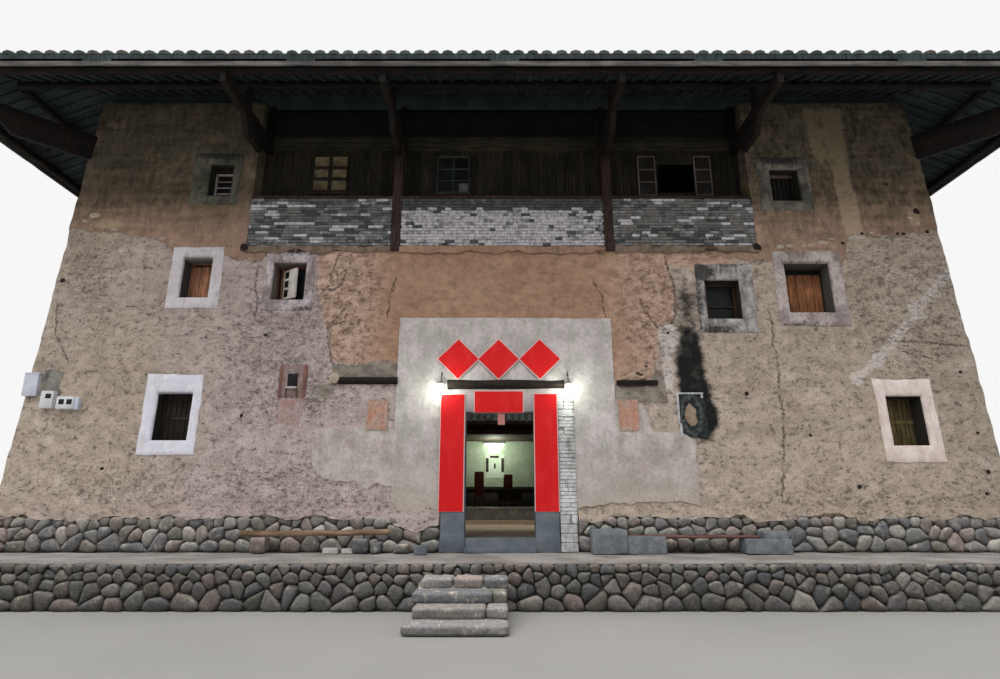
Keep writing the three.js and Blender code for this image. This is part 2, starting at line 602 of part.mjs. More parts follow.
// Ridges: mortar-bedded tile coping, a square ring astride the four ridges with a hip down to each corner.
function ridgeRing() {
  const apex = topAt(RIDGE_INSET) + GAP;
  const side = RIDGE_WIDTH / 2;
  const drop = side * ROOF_PITCH;
  const outline = [
    [RIDGE_INSET - side, apex - drop], [RIDGE_INSET, apex], [RIDGE_INSET + side, apex - drop],
    [RIDGE_INSET + side, apex + RIDGE_HEIGHT], [RIDGE_INSET - side, apex + RIDGE_HEIGHT],
  ];
  const corners = [[-1, -1], [1, -1], [1, 1], [-1, 1]];
  const places = corners.flatMap(([sideX, sideY]) => outline.flatMap(([inward, up]) => [
    sideX * (HALF_WIDTH - inward), MIDDLE + sideY * (DEPTH / 2 - inward), up,
  ]));
  const faces = [];
  for (let corner = 0; corner < corners.length; corner += 1) {
    for (let point = 0; point < outline.length; point += 1) {
      const here = corner * outline.length;
      const there = ((corner + 1) % corners.length) * outline.length;
      const next = (point + 1) % outline.length;
      faces.push(here + point, there + next, there + point, here + point, here + next, there + next);
    }
  }
  const ring = new THREE.BufferGeometry();
  ring.setAttribute('position', new THREE.Float32BufferAttribute(places, 3));
  ring.setIndex(faces);
  return ring;
}

// A hip runs on the diagonal from the ridge's corner to the eave's corner.
function hipCoping(name) {
  const { half } = WINGS[name];
  const side = HIP_WIDTH / 2;
  const drop = (side * ROOF_PITCH) / Math.SQRT2;
  const outline = [
    [-side, HIP_LIFT - drop], [0, HIP_LIFT], [side, HIP_LIFT - drop], [side, HIP_HEIGHT], [-side, HIP_HEIGHT],
  ];
  const coping = prismAlong(outline, 0, 1);
  const places = coping.getAttribute('position');
  for (let i = 0; i < places.count; i += 1) {
    const inward = places.getX(i) > 0.5 ? HIP_FOOT : HIP_HEAD;
    const across = places.getY(i) / Math.SQRT2;
    places.setXYZ(i, half - inward + across, inward + across, topAt(inward) + places.getZ(i));
  }
  return toWing(coping, name);
}
const wingNames = Object.keys(WINGS);
addPiece('roof_ridges', fuse([ridgeRing(), ...wingNames.map(hipCoping)]), TILE);

// Seats on the terrace: planks on rough stone blocks, against the foot of the wall.
const SEAT_BACK = FRONT - 90;
const seatFoot = TERRACE_HEIGHT + GAP;
const seatBlock = (x0, x1, depth, foot, top) => boxSpan(x0, x1, SEAT_BACK - depth, SEAT_BACK,
  seatFoot + foot, seatFoot + top);
const seatPlank = (x0, x1, foot) => boxSpan(x0, x1, SEAT_BACK - 280, SEAT_BACK - 50,
  seatFoot + foot, seatFoot + foot + 60);
addPiece('bench_left', fuse([
  seatBlock(-4700, -4380, 330, 0, 300),
  seatBlock(-2800, -2500, 330, 0, 300),
  seatPlank(-4900, -2300, 290),
]), SHUTTER_TIMBER);
addPiece('bench_right', fuse([
  seatBlock(1600, 2240, 390, 0, 430),
  seatBlock(4400, 5400, 390, 0, 270),
  seatBlock(4700, 5400, 390, 260, 400),
  seatPlank(2150, 4750, 265),
]), DRESSED_STONE);

export default house;
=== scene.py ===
import math
import random
from contextlib import contextmanager

import bpy
import numpy as np
from mathutils import Matrix, Vector, noise


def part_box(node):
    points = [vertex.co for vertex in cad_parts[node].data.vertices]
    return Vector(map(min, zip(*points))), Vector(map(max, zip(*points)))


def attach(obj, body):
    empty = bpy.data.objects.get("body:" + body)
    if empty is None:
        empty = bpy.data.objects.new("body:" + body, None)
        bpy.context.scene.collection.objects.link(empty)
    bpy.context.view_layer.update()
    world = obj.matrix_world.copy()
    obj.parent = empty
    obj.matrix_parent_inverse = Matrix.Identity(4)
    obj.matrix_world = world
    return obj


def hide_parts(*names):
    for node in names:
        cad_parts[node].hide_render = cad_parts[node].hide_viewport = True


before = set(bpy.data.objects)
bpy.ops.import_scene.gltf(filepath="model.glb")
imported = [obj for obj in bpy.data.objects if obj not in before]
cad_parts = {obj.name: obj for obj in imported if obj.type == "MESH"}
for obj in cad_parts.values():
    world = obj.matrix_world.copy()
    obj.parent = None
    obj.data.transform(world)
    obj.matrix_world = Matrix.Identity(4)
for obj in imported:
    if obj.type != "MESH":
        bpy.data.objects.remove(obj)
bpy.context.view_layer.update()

# View: from the lower ground in front of the house, at a standing person's eye, tilted up to the eave.
# The focal length is in the photograph's pixels, on a frame 1000 wide and 679 high.
foot_low, foot_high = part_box("stone_footing")
HALF = foot_high.x                  # half the front, at the foot of the earth wall
FRONT = foot_low.y
BACK = foot_high.y
FOCAL_PIXELS = 611
FRAME_WIDTH = 1000
EYE_HEIGHT = 1.7
EYE_DISTANCE = 12.173
EYE_OFFSET = -0.09
TILT = math.radians(14.6)


def placed(name, data):
    """A new object in the scene."""
    piece = bpy.data.objects.new(name, data)
    bpy.context.collection.objects.link(piece)
    return piece


view = bpy.data.cameras.new("view")
view.sensor_width = 36
view.lens = view.sensor_width * FOCAL_PIXELS / FRAME_WIDTH
view.clip_end = 300
camera = placed("view", view)
camera.location = (EYE_OFFSET, FRONT - EYE_DISTANCE, EYE_HEIGHT)
camera.rotation_euler = (math.pi / 2 + TILT, 0, 0)
bpy.context.scene.camera = camera
bpy.context.scene.view_settings.view_transform = "Standard"

# Studio: a pale overcast sky, a wide soft sun high on the left and a weak one from behind, and a pale
# matt floor at the level of the lower ground.
SKY = (0.9, 0.95, 1.0)
SKY_STRENGTH = 0.45
SKY_SEEN = (0.935, 0.93, 0.935)     # what the open sky itself looks like
world = bpy.data.worlds.new("sky")
world.use_nodes = True
bpy.context.scene.world = world
sky = world.node_tree
sky.nodes.clear()
lit, seen = [sky.nodes.new("ShaderNodeBackground") for kind in ("lit", "seen")]
lit.inputs["Color"].default_value = (*SKY, 1)
lit.inputs["Strength"].default_value = SKY_STRENGTH
seen.inputs["Color"].default_value = (*SKY_SEEN, 1)
either = sky.nodes.new("ShaderNodeMixShader")
sky.links.new(sky.nodes.new("ShaderNodeLightPath").outputs["Is Camera Ray"], either.inputs[0])
sky.links.new(lit.outputs[0], either.inputs[1])
sky.links.new(seen.outputs[0], either.inputs[2])
sky.links.new(either.outputs[0], sky.nodes.new("ShaderNodeOutputWorld").inputs["Surface"])


def soft_sun(name, strength, spread, elevation, heading, color):
    """A sun lamp. Heading is the side it shines from: 0 from the front, 90 from the right."""
    lamp = bpy.data.lights.new(name, "SUN")
    lamp.energy = strength
    lamp.angle = math.radians(spread)
    lamp.color = color
    placed(name, lamp).rotation_euler = (math.radians(90 - elevation), 0, math.radians(heading))


soft_sun("key_light", strength=2.1, spread=70, elevation=60, heading=-25, color=(1.0, 0.985, 0.95))
soft_sun("back_light", strength=0.8, spread=90, elevation=45, heading=155, color=(0.92, 0.95, 1.0))


class Finish:
    """A procedural finish. Patterns are made on Object coordinates, in metres, and end in one surface."""

    def __init__(self, name):
        self.material = bpy.data.materials.new(name)
        self.material.use_nodes = True
        self.tree = self.material.node_tree
        self.tree.nodes.clear()
        self.place = self.tree.nodes.new("ShaderNodeTexCoord").outputs["Object"]

    def add(self, kind, settings=None, **inputs):
        node = self.tree.nodes.new(kind)
        for key, value in (settings or {}).items():
            setattr(node, key, value)
        for key, value in inputs.items():
            self.feed(node.inputs[key.replace("_", " ")], value)
        return node

    def feed(self, socket, value):
        if isinstance(value, bpy.types.NodeSocket):
            self.tree.links.new(value, socket)
        elif socket.type == "RGBA":
            socket.default_value = (*value, 1)
        else:
            socket.default_value = value

    def given(self, name):
        """A number painted on the mesh."""
        return self.add("ShaderNodeAttribute", {"attribute_name": name}).outputs["Fac"]

    def up(self):
        """Height above the ground."""
        return self.add("ShaderNodeSeparateXYZ", Vector=self.place).outputs["Z"]

    def stretched(self, size, stretch):
        scale = tuple(1 / (size * along) for along in stretch)
        return self.add("ShaderNodeMapping", Vector=self.place, Scale=scale).outputs[0]

    def cloud(self, size, stretch=(1, 1, 1), detail=3, roughness=0.5):
        """Cloudy blotches, 0 to 1, about size metres across."""
        return self.add("ShaderNodeTexNoise", Vector=self.stretched(size, stretch), Scale=1, Detail=detail,
            Roughness=roughness).outputs[0]

    def span(self, value, low, high, start=0.0, end=1.0):
        """A smooth step: start where value is at low, end where it is at high."""
        return self.add("ShaderNodeMapRange", {"interpolation_type": "SMOOTHSTEP"}, Value=value,
            From_Min=low, From_Max=high, To_Min=start, To_Max=end).outputs[0]

    def calc(self, operation, first, second=0.0):
        node = self.add("ShaderNodeMath", {"operation": operation})
        self.feed(node.inputs[0], first)
        self.feed(node.inputs[1], second)
        return node.outputs[0]

    def times(self, first, second):
        return self.calc("MULTIPLY", first, second)

    def sum(self, *values):
        total = values[0]
        for value in values[1:]:
            total = self.calc("ADD", total, value)
        return total

    def mix(self, factor, first, second, mode="MIX"):
        node = self.add("ShaderNodeMix", {"data_type": "RGBA", "blend_type": mode})
        self.feed(node.inputs["Factor"], factor)
        self.feed(node.inputs[6], first)
        self.feed(node.inputs[7], second)
        return node.outputs[2]

    def shade(self, color, amount):
        """Makes a colour darker or lighter by a number."""
        return self.mix(1.0, color, self.add("ShaderNodeCombineColor", Red=amount, Green=amount,
            Blue=amount).outputs[0], "MULTIPLY")

    def over(self, color, value, low, high, tint, most=1.0):
        """Lays a tint over a colour as a value goes from low to high."""
        return self.mix(self.span(value, low, high, 0.0, most), color, tint)

    def vary(self, color, value, low, high, first, last):
        """Shades a colour from first to last as a value goes from low to high."""
        return self.shade(color, self.span(value, low, high, first, last))

    def surface(self, color, roughness, height=None, relief=0.01, **constants):
        """Ends the finish. Height is 0 to 1, and relief is its depth in metres."""
        shader = self.add("ShaderNodeBsdfPrincipled", Base_Color=color, Roughness=roughness)
        shader.inputs["Specular IOR Level"].default_value = 0.25
        for key, value in constants.items():
            shader.inputs[key.replace("_", " ")].default_value = value
        if height is not None:
            bump = self.add("ShaderNodeBump", Height=height, Distance=relief, Strength=1.0)
            self.tree.links.new(bump.outputs[0], shader.inputs["Normal"])
        self.add("ShaderNodeOutputMaterial", Surface=shader.outputs[0])
        return self.material


def floor_finish():
    finish = Finish("pale_floor")
    mottle = finish.cloud(3.0, detail=5)
    return finish.surface(finish.vary((0.42, 0.41, 0.39), mottle, 0.3, 0.7, 0.96, 1.04), 0.85)


def deselect():
    bpy.ops.object.select_all(action="DESELECT")


FLOOR_SIZE = 240
FLOOR_DROP = 0.002                  # keeps the floor clear of the lowest faces
deselect()
bpy.ops.mesh.primitive_plane_add(size=FLOOR_SIZE, location=(0, 0, -FLOOR_DROP))
floor = bpy.context.object
floor.name = "floor"
floor.data.materials.append(floor_finish())

# Earth walls: raw earth rammed in lifts on a stone footing, three storeys high, leaning in as they rise.
# The front has a smooth darker clay coat on its upper storey and a weathered rough coat below it. Each
# wall is cut into a fine net of faces, and then pushed in and out where rain and age have worn it.
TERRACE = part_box("terrace")[1].z
FOOTING_TOP = foot_high.z
WALL_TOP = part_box("back_wall")[1].z
MIDDLE = (FRONT + BACK) / 2
BATTER = 0.0425                     # how far a face leans in for each metre of height


def lean(up):
    return BATTER * (up - TERRACE)


def above_terrace(points):
    return [(x, TERRACE + up) for x, up in points]


# Lower edge of the smooth coat on the front wall, from its left corner to its right one.
COAT_EDGE = above_terrace([(-9.9, 6.74), (-9.26, 6.71), (-8.7, 6.68), (-8.25, 6.59), (-7.62, 6.54),
    (-7.44, 6.37), (-7.25, 6.22), (-7.2, 5.95), (-6.12, 6.12), (-5.84, 6.03), (-5.31, 5.94), (-5.16, 6.22),
    (4.06, 6.22), (5.35, 5.96), (7.36, 5.93), (7.5, 6.25), (7.42, 6.4), (7.66, 6.56), (8.84, 6.59),
    (9.21, 6.68), (9.9, 6.8)])
# Outlines of the patches on the front wall and courses of its cracks, as (x, height above the terrace).
ORANGE_CLAY = [(-4.1, 6.4), (-4.01, 5.3), (-3.73, 4.51), (-3.56, 3.7), (-2.1, 3.6), (2.2, 3.3), (3.02, 3.3),
    (3.1, 3.62), (3.24, 4.15), (3.26, 4.43), (3.54, 4.6), (3.64, 5.0), (3.68, 5.5), (3.53, 5.84),
    (5.0, 5.84), (5.0, 6.4)]
CEMENT = ([(-3.56, 3.23), (-2.15, 3.23), (-2.15, 3.74), (-2.75, 3.7), (-3.2, 3.62), (-3.56, 3.7)],
          [(2.2, 3.28), (3.02, 3.28), (3.1, 3.62), (3.26, 3.5), (3.3, 2.83), (2.2, 2.92)])
CEMENT_SPOTS = ((-3.67, 3.1, 0.23, 0.15),)
SOOT = [(3.5, 2.9), (3.58, 4.2), (3.78, 4.55), (4.12, 4.4), (4.13, 4.0), (4.15, 3.4), (4.25, 3.0),
        (4.36, 2.72), (4.32, 2.4), (4.12, 2.1), (3.8, 2.0), (3.92, 2.41), (3.95, 2.9)]
FAINT_SOOT = [(3.55, 4.2), (3.6, 5.36), (3.85, 5.75), (4.15, 5.5), (4.16, 4.3)]
PALE_STREAKS = ([(7.43, 9.9), (7.47, 7.7), (7.52, 6.5), (7.96, 6.5), (7.86, 8.0), (7.94, 9.9)],
                [(7.03, 9.9), (7.07, 8.8), (7.27, 8.3), (7.42, 8.6), (7.36, 9.9)])
PALE_SMEAR = [(9.59, 5.68), (8.97, 5.08), (8.61, 4.68), (8.04, 4.08), (7.6, 3.65), (7.23, 3.38)]
PALE_SPOTS = ((8.72, 4.82, 0.17, 0.2), (7.74, 3.78, 0.12, 0.2), (7.2, 3.36, 0.15, 0.14),
    (-8.72, 6.86, 0.3, 0.1), (9.1, 7.0, 0.12, 0.22), (3.45, 4.25, 0.24, 0.3), (3.38, 3.55, 0.12, 0.5))
PITTED = ((-4.4, 3.9, 1.6, 1.7), (-4.2, 1.1, 2.2, 0.7), (6.5, 0.9, 2.5, 0.5), (-7.4, 1.2, 1.5, 0.5),
    (-3.2, 5.1, 0.9, 1.2), (3.1, 4.8, 0.9, 1.3), (8.5, 5.0, 1.3, 1.8), (-8.9, 5.6, 0.7, 0.9))
CRACKS = ([(5.61, 4.86), (5.64, 4.43), (5.58, 4.08), (5.65, 3.87), (5.61, 3.4), (5.58, 3.02), (5.61, 2.59),
    (5.55, 2.17), (5.5, 1.72), (5.41, 1.3), (5.37, 0.98)],
    [(3.51, 6.15), (3.51, 5.85), (3.63, 5.5), (3.66, 5.08), (3.58, 4.59)],
    [(2.91, 5.05), (2.99, 4.79), (3.13, 4.57), (3.25, 4.42), (3.38, 4.51), (3.54, 4.57)],
    [(1.93, 5.47), (2.09, 5.17), (2.11, 4.77)], [(-3.62, 6.11), (-3.71, 5.77), (-3.78, 5.38), (-3.9, 5.26)],
    [(-3.42, 5.73), (-3.5, 5.42), (-3.74, 5.3)], [(-3.4, 4.86), (-3.6, 4.59), (-3.67, 4.52), (-3.34, 4.58)],
    [(-2.36, 5.55), (-2.43, 5.15), (-2.48, 4.72)], [(-3.72, 4.52), (-3.65, 4.02), (-3.56, 3.69)],
    [(-5.36, 5.85), (-5.34, 5.38), (-5.25, 4.95), (-5.26, 4.72)],
    [(8.01, 4.17), (8.78, 4.13), (9.61, 4.04)], [(-9.5, 4.95), (-9.42, 4.35), (-9.15, 3.95), (-9.05, 3.76)],
    [(8.3, 3.93), (8.79, 3.8)])
# The front windows' openings: middle, width and height, and outer edges of the lime surround around each.
OPENINGS = {
    "window_ground_left": ((-6.695, 3.305, 0.73, 0.99), (-7.3, -6.16, 1.82, 3.44)),
    "window_ground_right": ((8.105, 3.22, 0.75, 1.02), (7.53, 8.7, 1.68, 3.345)),
    "window_second_left_outer": ((-6.65, 6.32, 0.64, 0.94), (-7.2, -6.105, 4.89, 6.295)),
    "window_second_left_inner": ((-4.645, 6.24, 0.73, 0.88), (-5.16, -4.1, 4.85, 6.22)),
    "window_second_right_inner": ((4.685, 5.82, 0.77, 0.9), (4.12, 5.34, 4.36, 5.9)),
    "window_second_right_outer": ((6.55, 6.085, 1.0, 1.15), (5.83, 7.3, 4.5, 6.19)),
    "window_third_left": ((-6.43, 8.7, 0.56, 0.82), (-7.05, -5.98, 7.35, 8.64)),
    "window_third_right": ((6.37, 8.57, 0.68, 0.82), (5.78, 6.92, 7.21, 8.54)),
}


def off_segment(x, up, start, end):
    """Distance of points from a straight piece of line, and on which side of it they lie."""
    (ax, au), (bx, bu) = start, end
    dx, du = bx - ax, bu - au
    along = np.clip(((x - ax) * dx + (up - au) * du) / (dx * dx + du * du), 0, 1)
    side = np.where(dx * (up - au) - du * (x - ax) > 0, 1.0, -1.0)
    return np.hypot(x - ax - along * dx, up - au - along * du), side


def inside_shape(x, up, outline):
    """How far points lie inside a closed outline, below 0 outside it."""
    nearest, crossed = np.full(len(x), 9.0), np.zeros(len(x), bool)
    for start, end in zip(outline, outline[1:] + outline[:1]):
        nearest = np.minimum(nearest, off_segment(x, up, start, end)[0])
        if start[1] != end[1]:
            across = start[0] + (up - start[1]) * (end[0] - start[0]) / (end[1] - start[1])
            crossed ^= ((start[1] > up) != (end[1] > up)) & (x < across)
    return np.where(crossed, nearest, -nearest)


def inside_round(x, up, middle, middle_up, reach, reach_up):
    return (1 - np.hypot((x - middle) / reach, (up - middle_up) / reach_up)) * min(reach, reach_up)


def beside_lines(x, up, lines):
    """Distance from the nearest of several lines, and the same with a sign for the side."""
    nearest, sides = np.full(len(x), 9.0), np.ones(len(x))
    for line in lines:
        for start, end in zip(line, line[1:]):
            off, side = off_segment(x, up, start, end)
            sides = np.where(off < nearest, side, sides)
            nearest = np.minimum(nearest, off)
    return nearest, nearest * sides


def coat_above(x, up):
    """How far a point lies above the lower edge of the smooth coat."""
    return up - np.interp(x, *zip(*COAT_EDGE))


def front_marks(x, up):
    """Where each coat, patch, stain and crack lies on the front wall, as metres inside its edge."""
    above = up - TERRACE
    cement = np.max([inside_shape(x, above, outline) for outline in CEMENT]
                    + [inside_round(x, above, *spot) for spot in CEMENT_SPOTS], axis=0)
    faint = np.clip(inside_shape(x, above, FAINT_SOOT), -1, 0.3) * 0.3 - 0.035
    soot = np.maximum(inside_shape(x, above, SOOT), faint)
    pale = np.max([inside_shape(x, above, outline) for outline in PALE_STREAKS]
                  + [inside_round(x, above, *spot) for spot in PALE_SPOTS]
                  + [0.085 - beside_lines(x, above, [PALE_SMEAR])[0]], axis=0)
    near, side = beside_lines(x, above, CRACKS)
    tone = np.interp(x, [-9.9, -5, 0, 7, 8.5, 9.9], [1.0, 1.02, 1.02, 1.0, 0.93, 0.8])
    tone *= np.interp(above, [0.6, 2.5, 4.5], [1.07, 1.0, 0.95])
    for opening, (left, right, foot, top) in OPENINGS.values():
        runs = 0.5 + 0.5 * np.sin(x * 23 + left) * np.sin(x * 61)
        under = np.clip((foot - above) / 0.1, 0, 1) * np.clip(1 - (foot - above) / 1.1, 0, 1)
        beside = np.clip(np.minimum(x - left, right - x) / 0.15, 0, 1)
        tone *= 1 - 0.2 * runs * under * beside
    return {"coat": coat_above(x, up), "clay": inside_shape(x, above, ORANGE_CLAY), "cement": cement,
            "soot": soot, "pale": pale, "crack": np.clip(side, -0.5, 0.5), "crack_near": 0.15 - near,
            "warm": np.interp(x, [-9.9, -7.6, -6, -4, 0, 5, 9.9], [0.75, 0.6, 0.25, 0.15, 0.5, 0.85, 1.0]),
            "smooth_clay": np.clip((x + 3.1) / 0.7, 0, 1) * np.clip((3.2 - x) / 1.2, 0.2, 1), "tone": tone,
            "pitted": np.max([inside_round(x, above, *spot) for spot in PITTED], axis=0)}


def other_marks(along, up):
    """On the other walls the two coats meet in one long uneven line."""
    edge = TERRACE + 6.62 + 0.1 * np.sin(along * 0.9) + 0.06 * np.sin(along * 2.7 + 1)
    far = np.full(len(along), -1.0)
    return {"coat": up - edge, "clay": far, "cement": far, "soot": far, "pale": far, "crack": far + 0.5,
            "crack_near": far, "warm": far + 1.5, "smooth_clay": far, "tone": far + 2, "pitted": far}


def ripple(x, y, z):
    """Smooth noise, about -1 to 1."""
    return noise.noise(Vector((x, y, z)))


def wall_relief(place, coat):
    """How far a point of a wall's face stands out, in metres."""
    broad = noise.noise(place * 0.7) * 0.022 + noise.noise(place * 2.3) * 0.01
    fine = ripple(place.x * 1.2, place.y * 1.2, place.z * 5.5) * 0.007 + noise.noise(place * 7.0) * 0.005
    smooth = min(max(coat / 0.06 + 0.5, 0), 1)
    return broad + fine * (1 - 0.7 * smooth) + 0.02 * smooth


def wall_front(up, out=0.0):
    """Y of a point that stands out from the front wall's face."""
    return FRONT + lean(up) - out


def on_face(x, up, out):
    """A place that stands out from the front wall's worn face."""
    worn = wall_relief(Vector((x, wall_front(up), up)), float(coat_above(x, up)))
    return x, wall_front(up, out + worn), up


FACES = (((0, -1, 0), lambda p: p.y - FRONT - lean(p.z)), ((0, 1, 0), lambda p: BACK - lean(p.z) - p.y),
         ((-1, 0, 0), lambda p: p.x + HALF - lean(p.z)), ((1, 0, 0), lambda p: HALF - lean(p.z) - p.x))


def only(piece):
    """Makes one object the selected and active one."""
    deselect()
    bpy.context.view_layer.objects.active = piece
    piece.select_set(True)


@contextmanager
def editing(piece, select="SELECT"):
    """Edit mode on one object, with all of it selected or, where select is None, what was selected before."""
    only(piece)
    bpy.ops.object.mode_set(mode="EDIT")
    if select:
        bpy.ops.mesh.select_all(action=select)
    yield
    bpy.ops.object.mode_set(mode="OBJECT")


def merge_flat(piece, near):
    """Merges the loose triangles of a solid's copy into whole flat faces."""
    with editing(piece):
        bpy.ops.mesh.remove_doubles(threshold=near)
        bpy.ops.mesh.dissolve_limited(angle_limit=0.01)


def cut_across(axis, low, high, steps):
    """Cuts a mesh in edit mode into equal slices along one axis."""
    for step in range(1, steps):
        place, normal = [0, 0, 0], [0, 0, 0]
        place[axis] = low + (high - low) * step / steps
        normal[axis] = 1
        bpy.ops.mesh.select_all(action="SELECT")
        bpy.ops.mesh.bisect(plane_co=place, plane_no=normal)


def points_of(piece):
    return np.array([tuple(v.co) for v in piece.data.vertices])


def net_of_faces(piece, pitch):
    """Cuts the outer faces into squares of that pitch, and leaves the inner ones alone."""
    merge_flat(piece, 1e-4)
    for face in piece.data.polygons:
        face.select = any(Vector(out).dot(face.normal) > 0.9 and inset(face.center) < 0.01
                          for out, inset in FACES)
    with editing(piece, None):
        bpy.ops.mesh.hide(unselected=True)
        places = points_of(piece)
        for axis, (low, high) in enumerate(zip(places.min(axis=0), places.max(axis=0))):
            cut_across(axis, low, high, int((high - low) / pitch))
        bpy.ops.mesh.reveal(select=False)


def loose_copy(node, name):
    """A copy of a solid that can be shaped."""
    piece = placed(name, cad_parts[node].data.copy())
    piece.data.materials.clear()
    return piece


def keep(piece, material, slot, *nodes, angle=35):
    """Finishes a piece: smooth faces, its material, and its place on the house."""
    only(piece)
    bpy.ops.object.transform_apply(location=True, rotation=True, scale=True)
    bpy.ops.object.shade_smooth_by_angle(angle=math.radians(angle))
    piece.data.materials.clear()
    piece.data.materials.append(material)
    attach(piece, "root")
    if nodes:
        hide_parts(*nodes)
    return piece


def paint(piece, name, values):
    """Paints a number on each point of the mesh, for a finish to read."""
    layer = piece.data.attributes.new(name, "FLOAT", "POINT")
    layer.data.foreach_set("value", np.asarray(values, np.float32))


WORN_FOOT, WORN_DEEP = 0.35, 0.045  # height of the worn foot, and how far rain has eaten it
CORNER_ROUND = 0.075


def worn_wall(piece, coats):
    """Pushes the outer faces in and out, rounds the corners, and wears the foot above the stones."""
    for vertex, coat in zip(piece.data.vertices, coats):
        place = vertex.co.copy()
        insets = [(Vector(out), inset(place)) for out, inset in FACES]
        if min(abs(inset) for way, inset in insets) > 0.002:
            continue
        foot = max(0.0, 1 - (place.z - FOOTING_TOP) / WORN_FOOT)
        out = wall_relief(place, coat) - WORN_DEEP * foot * (0.6 + 0.7 * noise.noise(place * 2.1))
        if place.z > WALL_TOP - 0.01:
            out = min(out, 0)
        elif sum(inset < 0.25 for way, inset in insets) > 1:
            out = max(out, 0)
        for way, inset in insets:
            if abs(inset) < 0.02:
                vertex.co += way * out
        corner = CORNER_ROUND + 0.03 * noise.noise(place * 1.3) + 0.035 * noise.noise(place * 4.1)
        close = [(way, inset) for way, inset in insets if inset < corner]
        if len(close) == 2:
            off_middle = math.hypot(*(corner - inset for way, inset in close))
            for way, inset in close:
                vertex.co -= way * (corner - inset) * max(0, 1 - corner / off_middle)


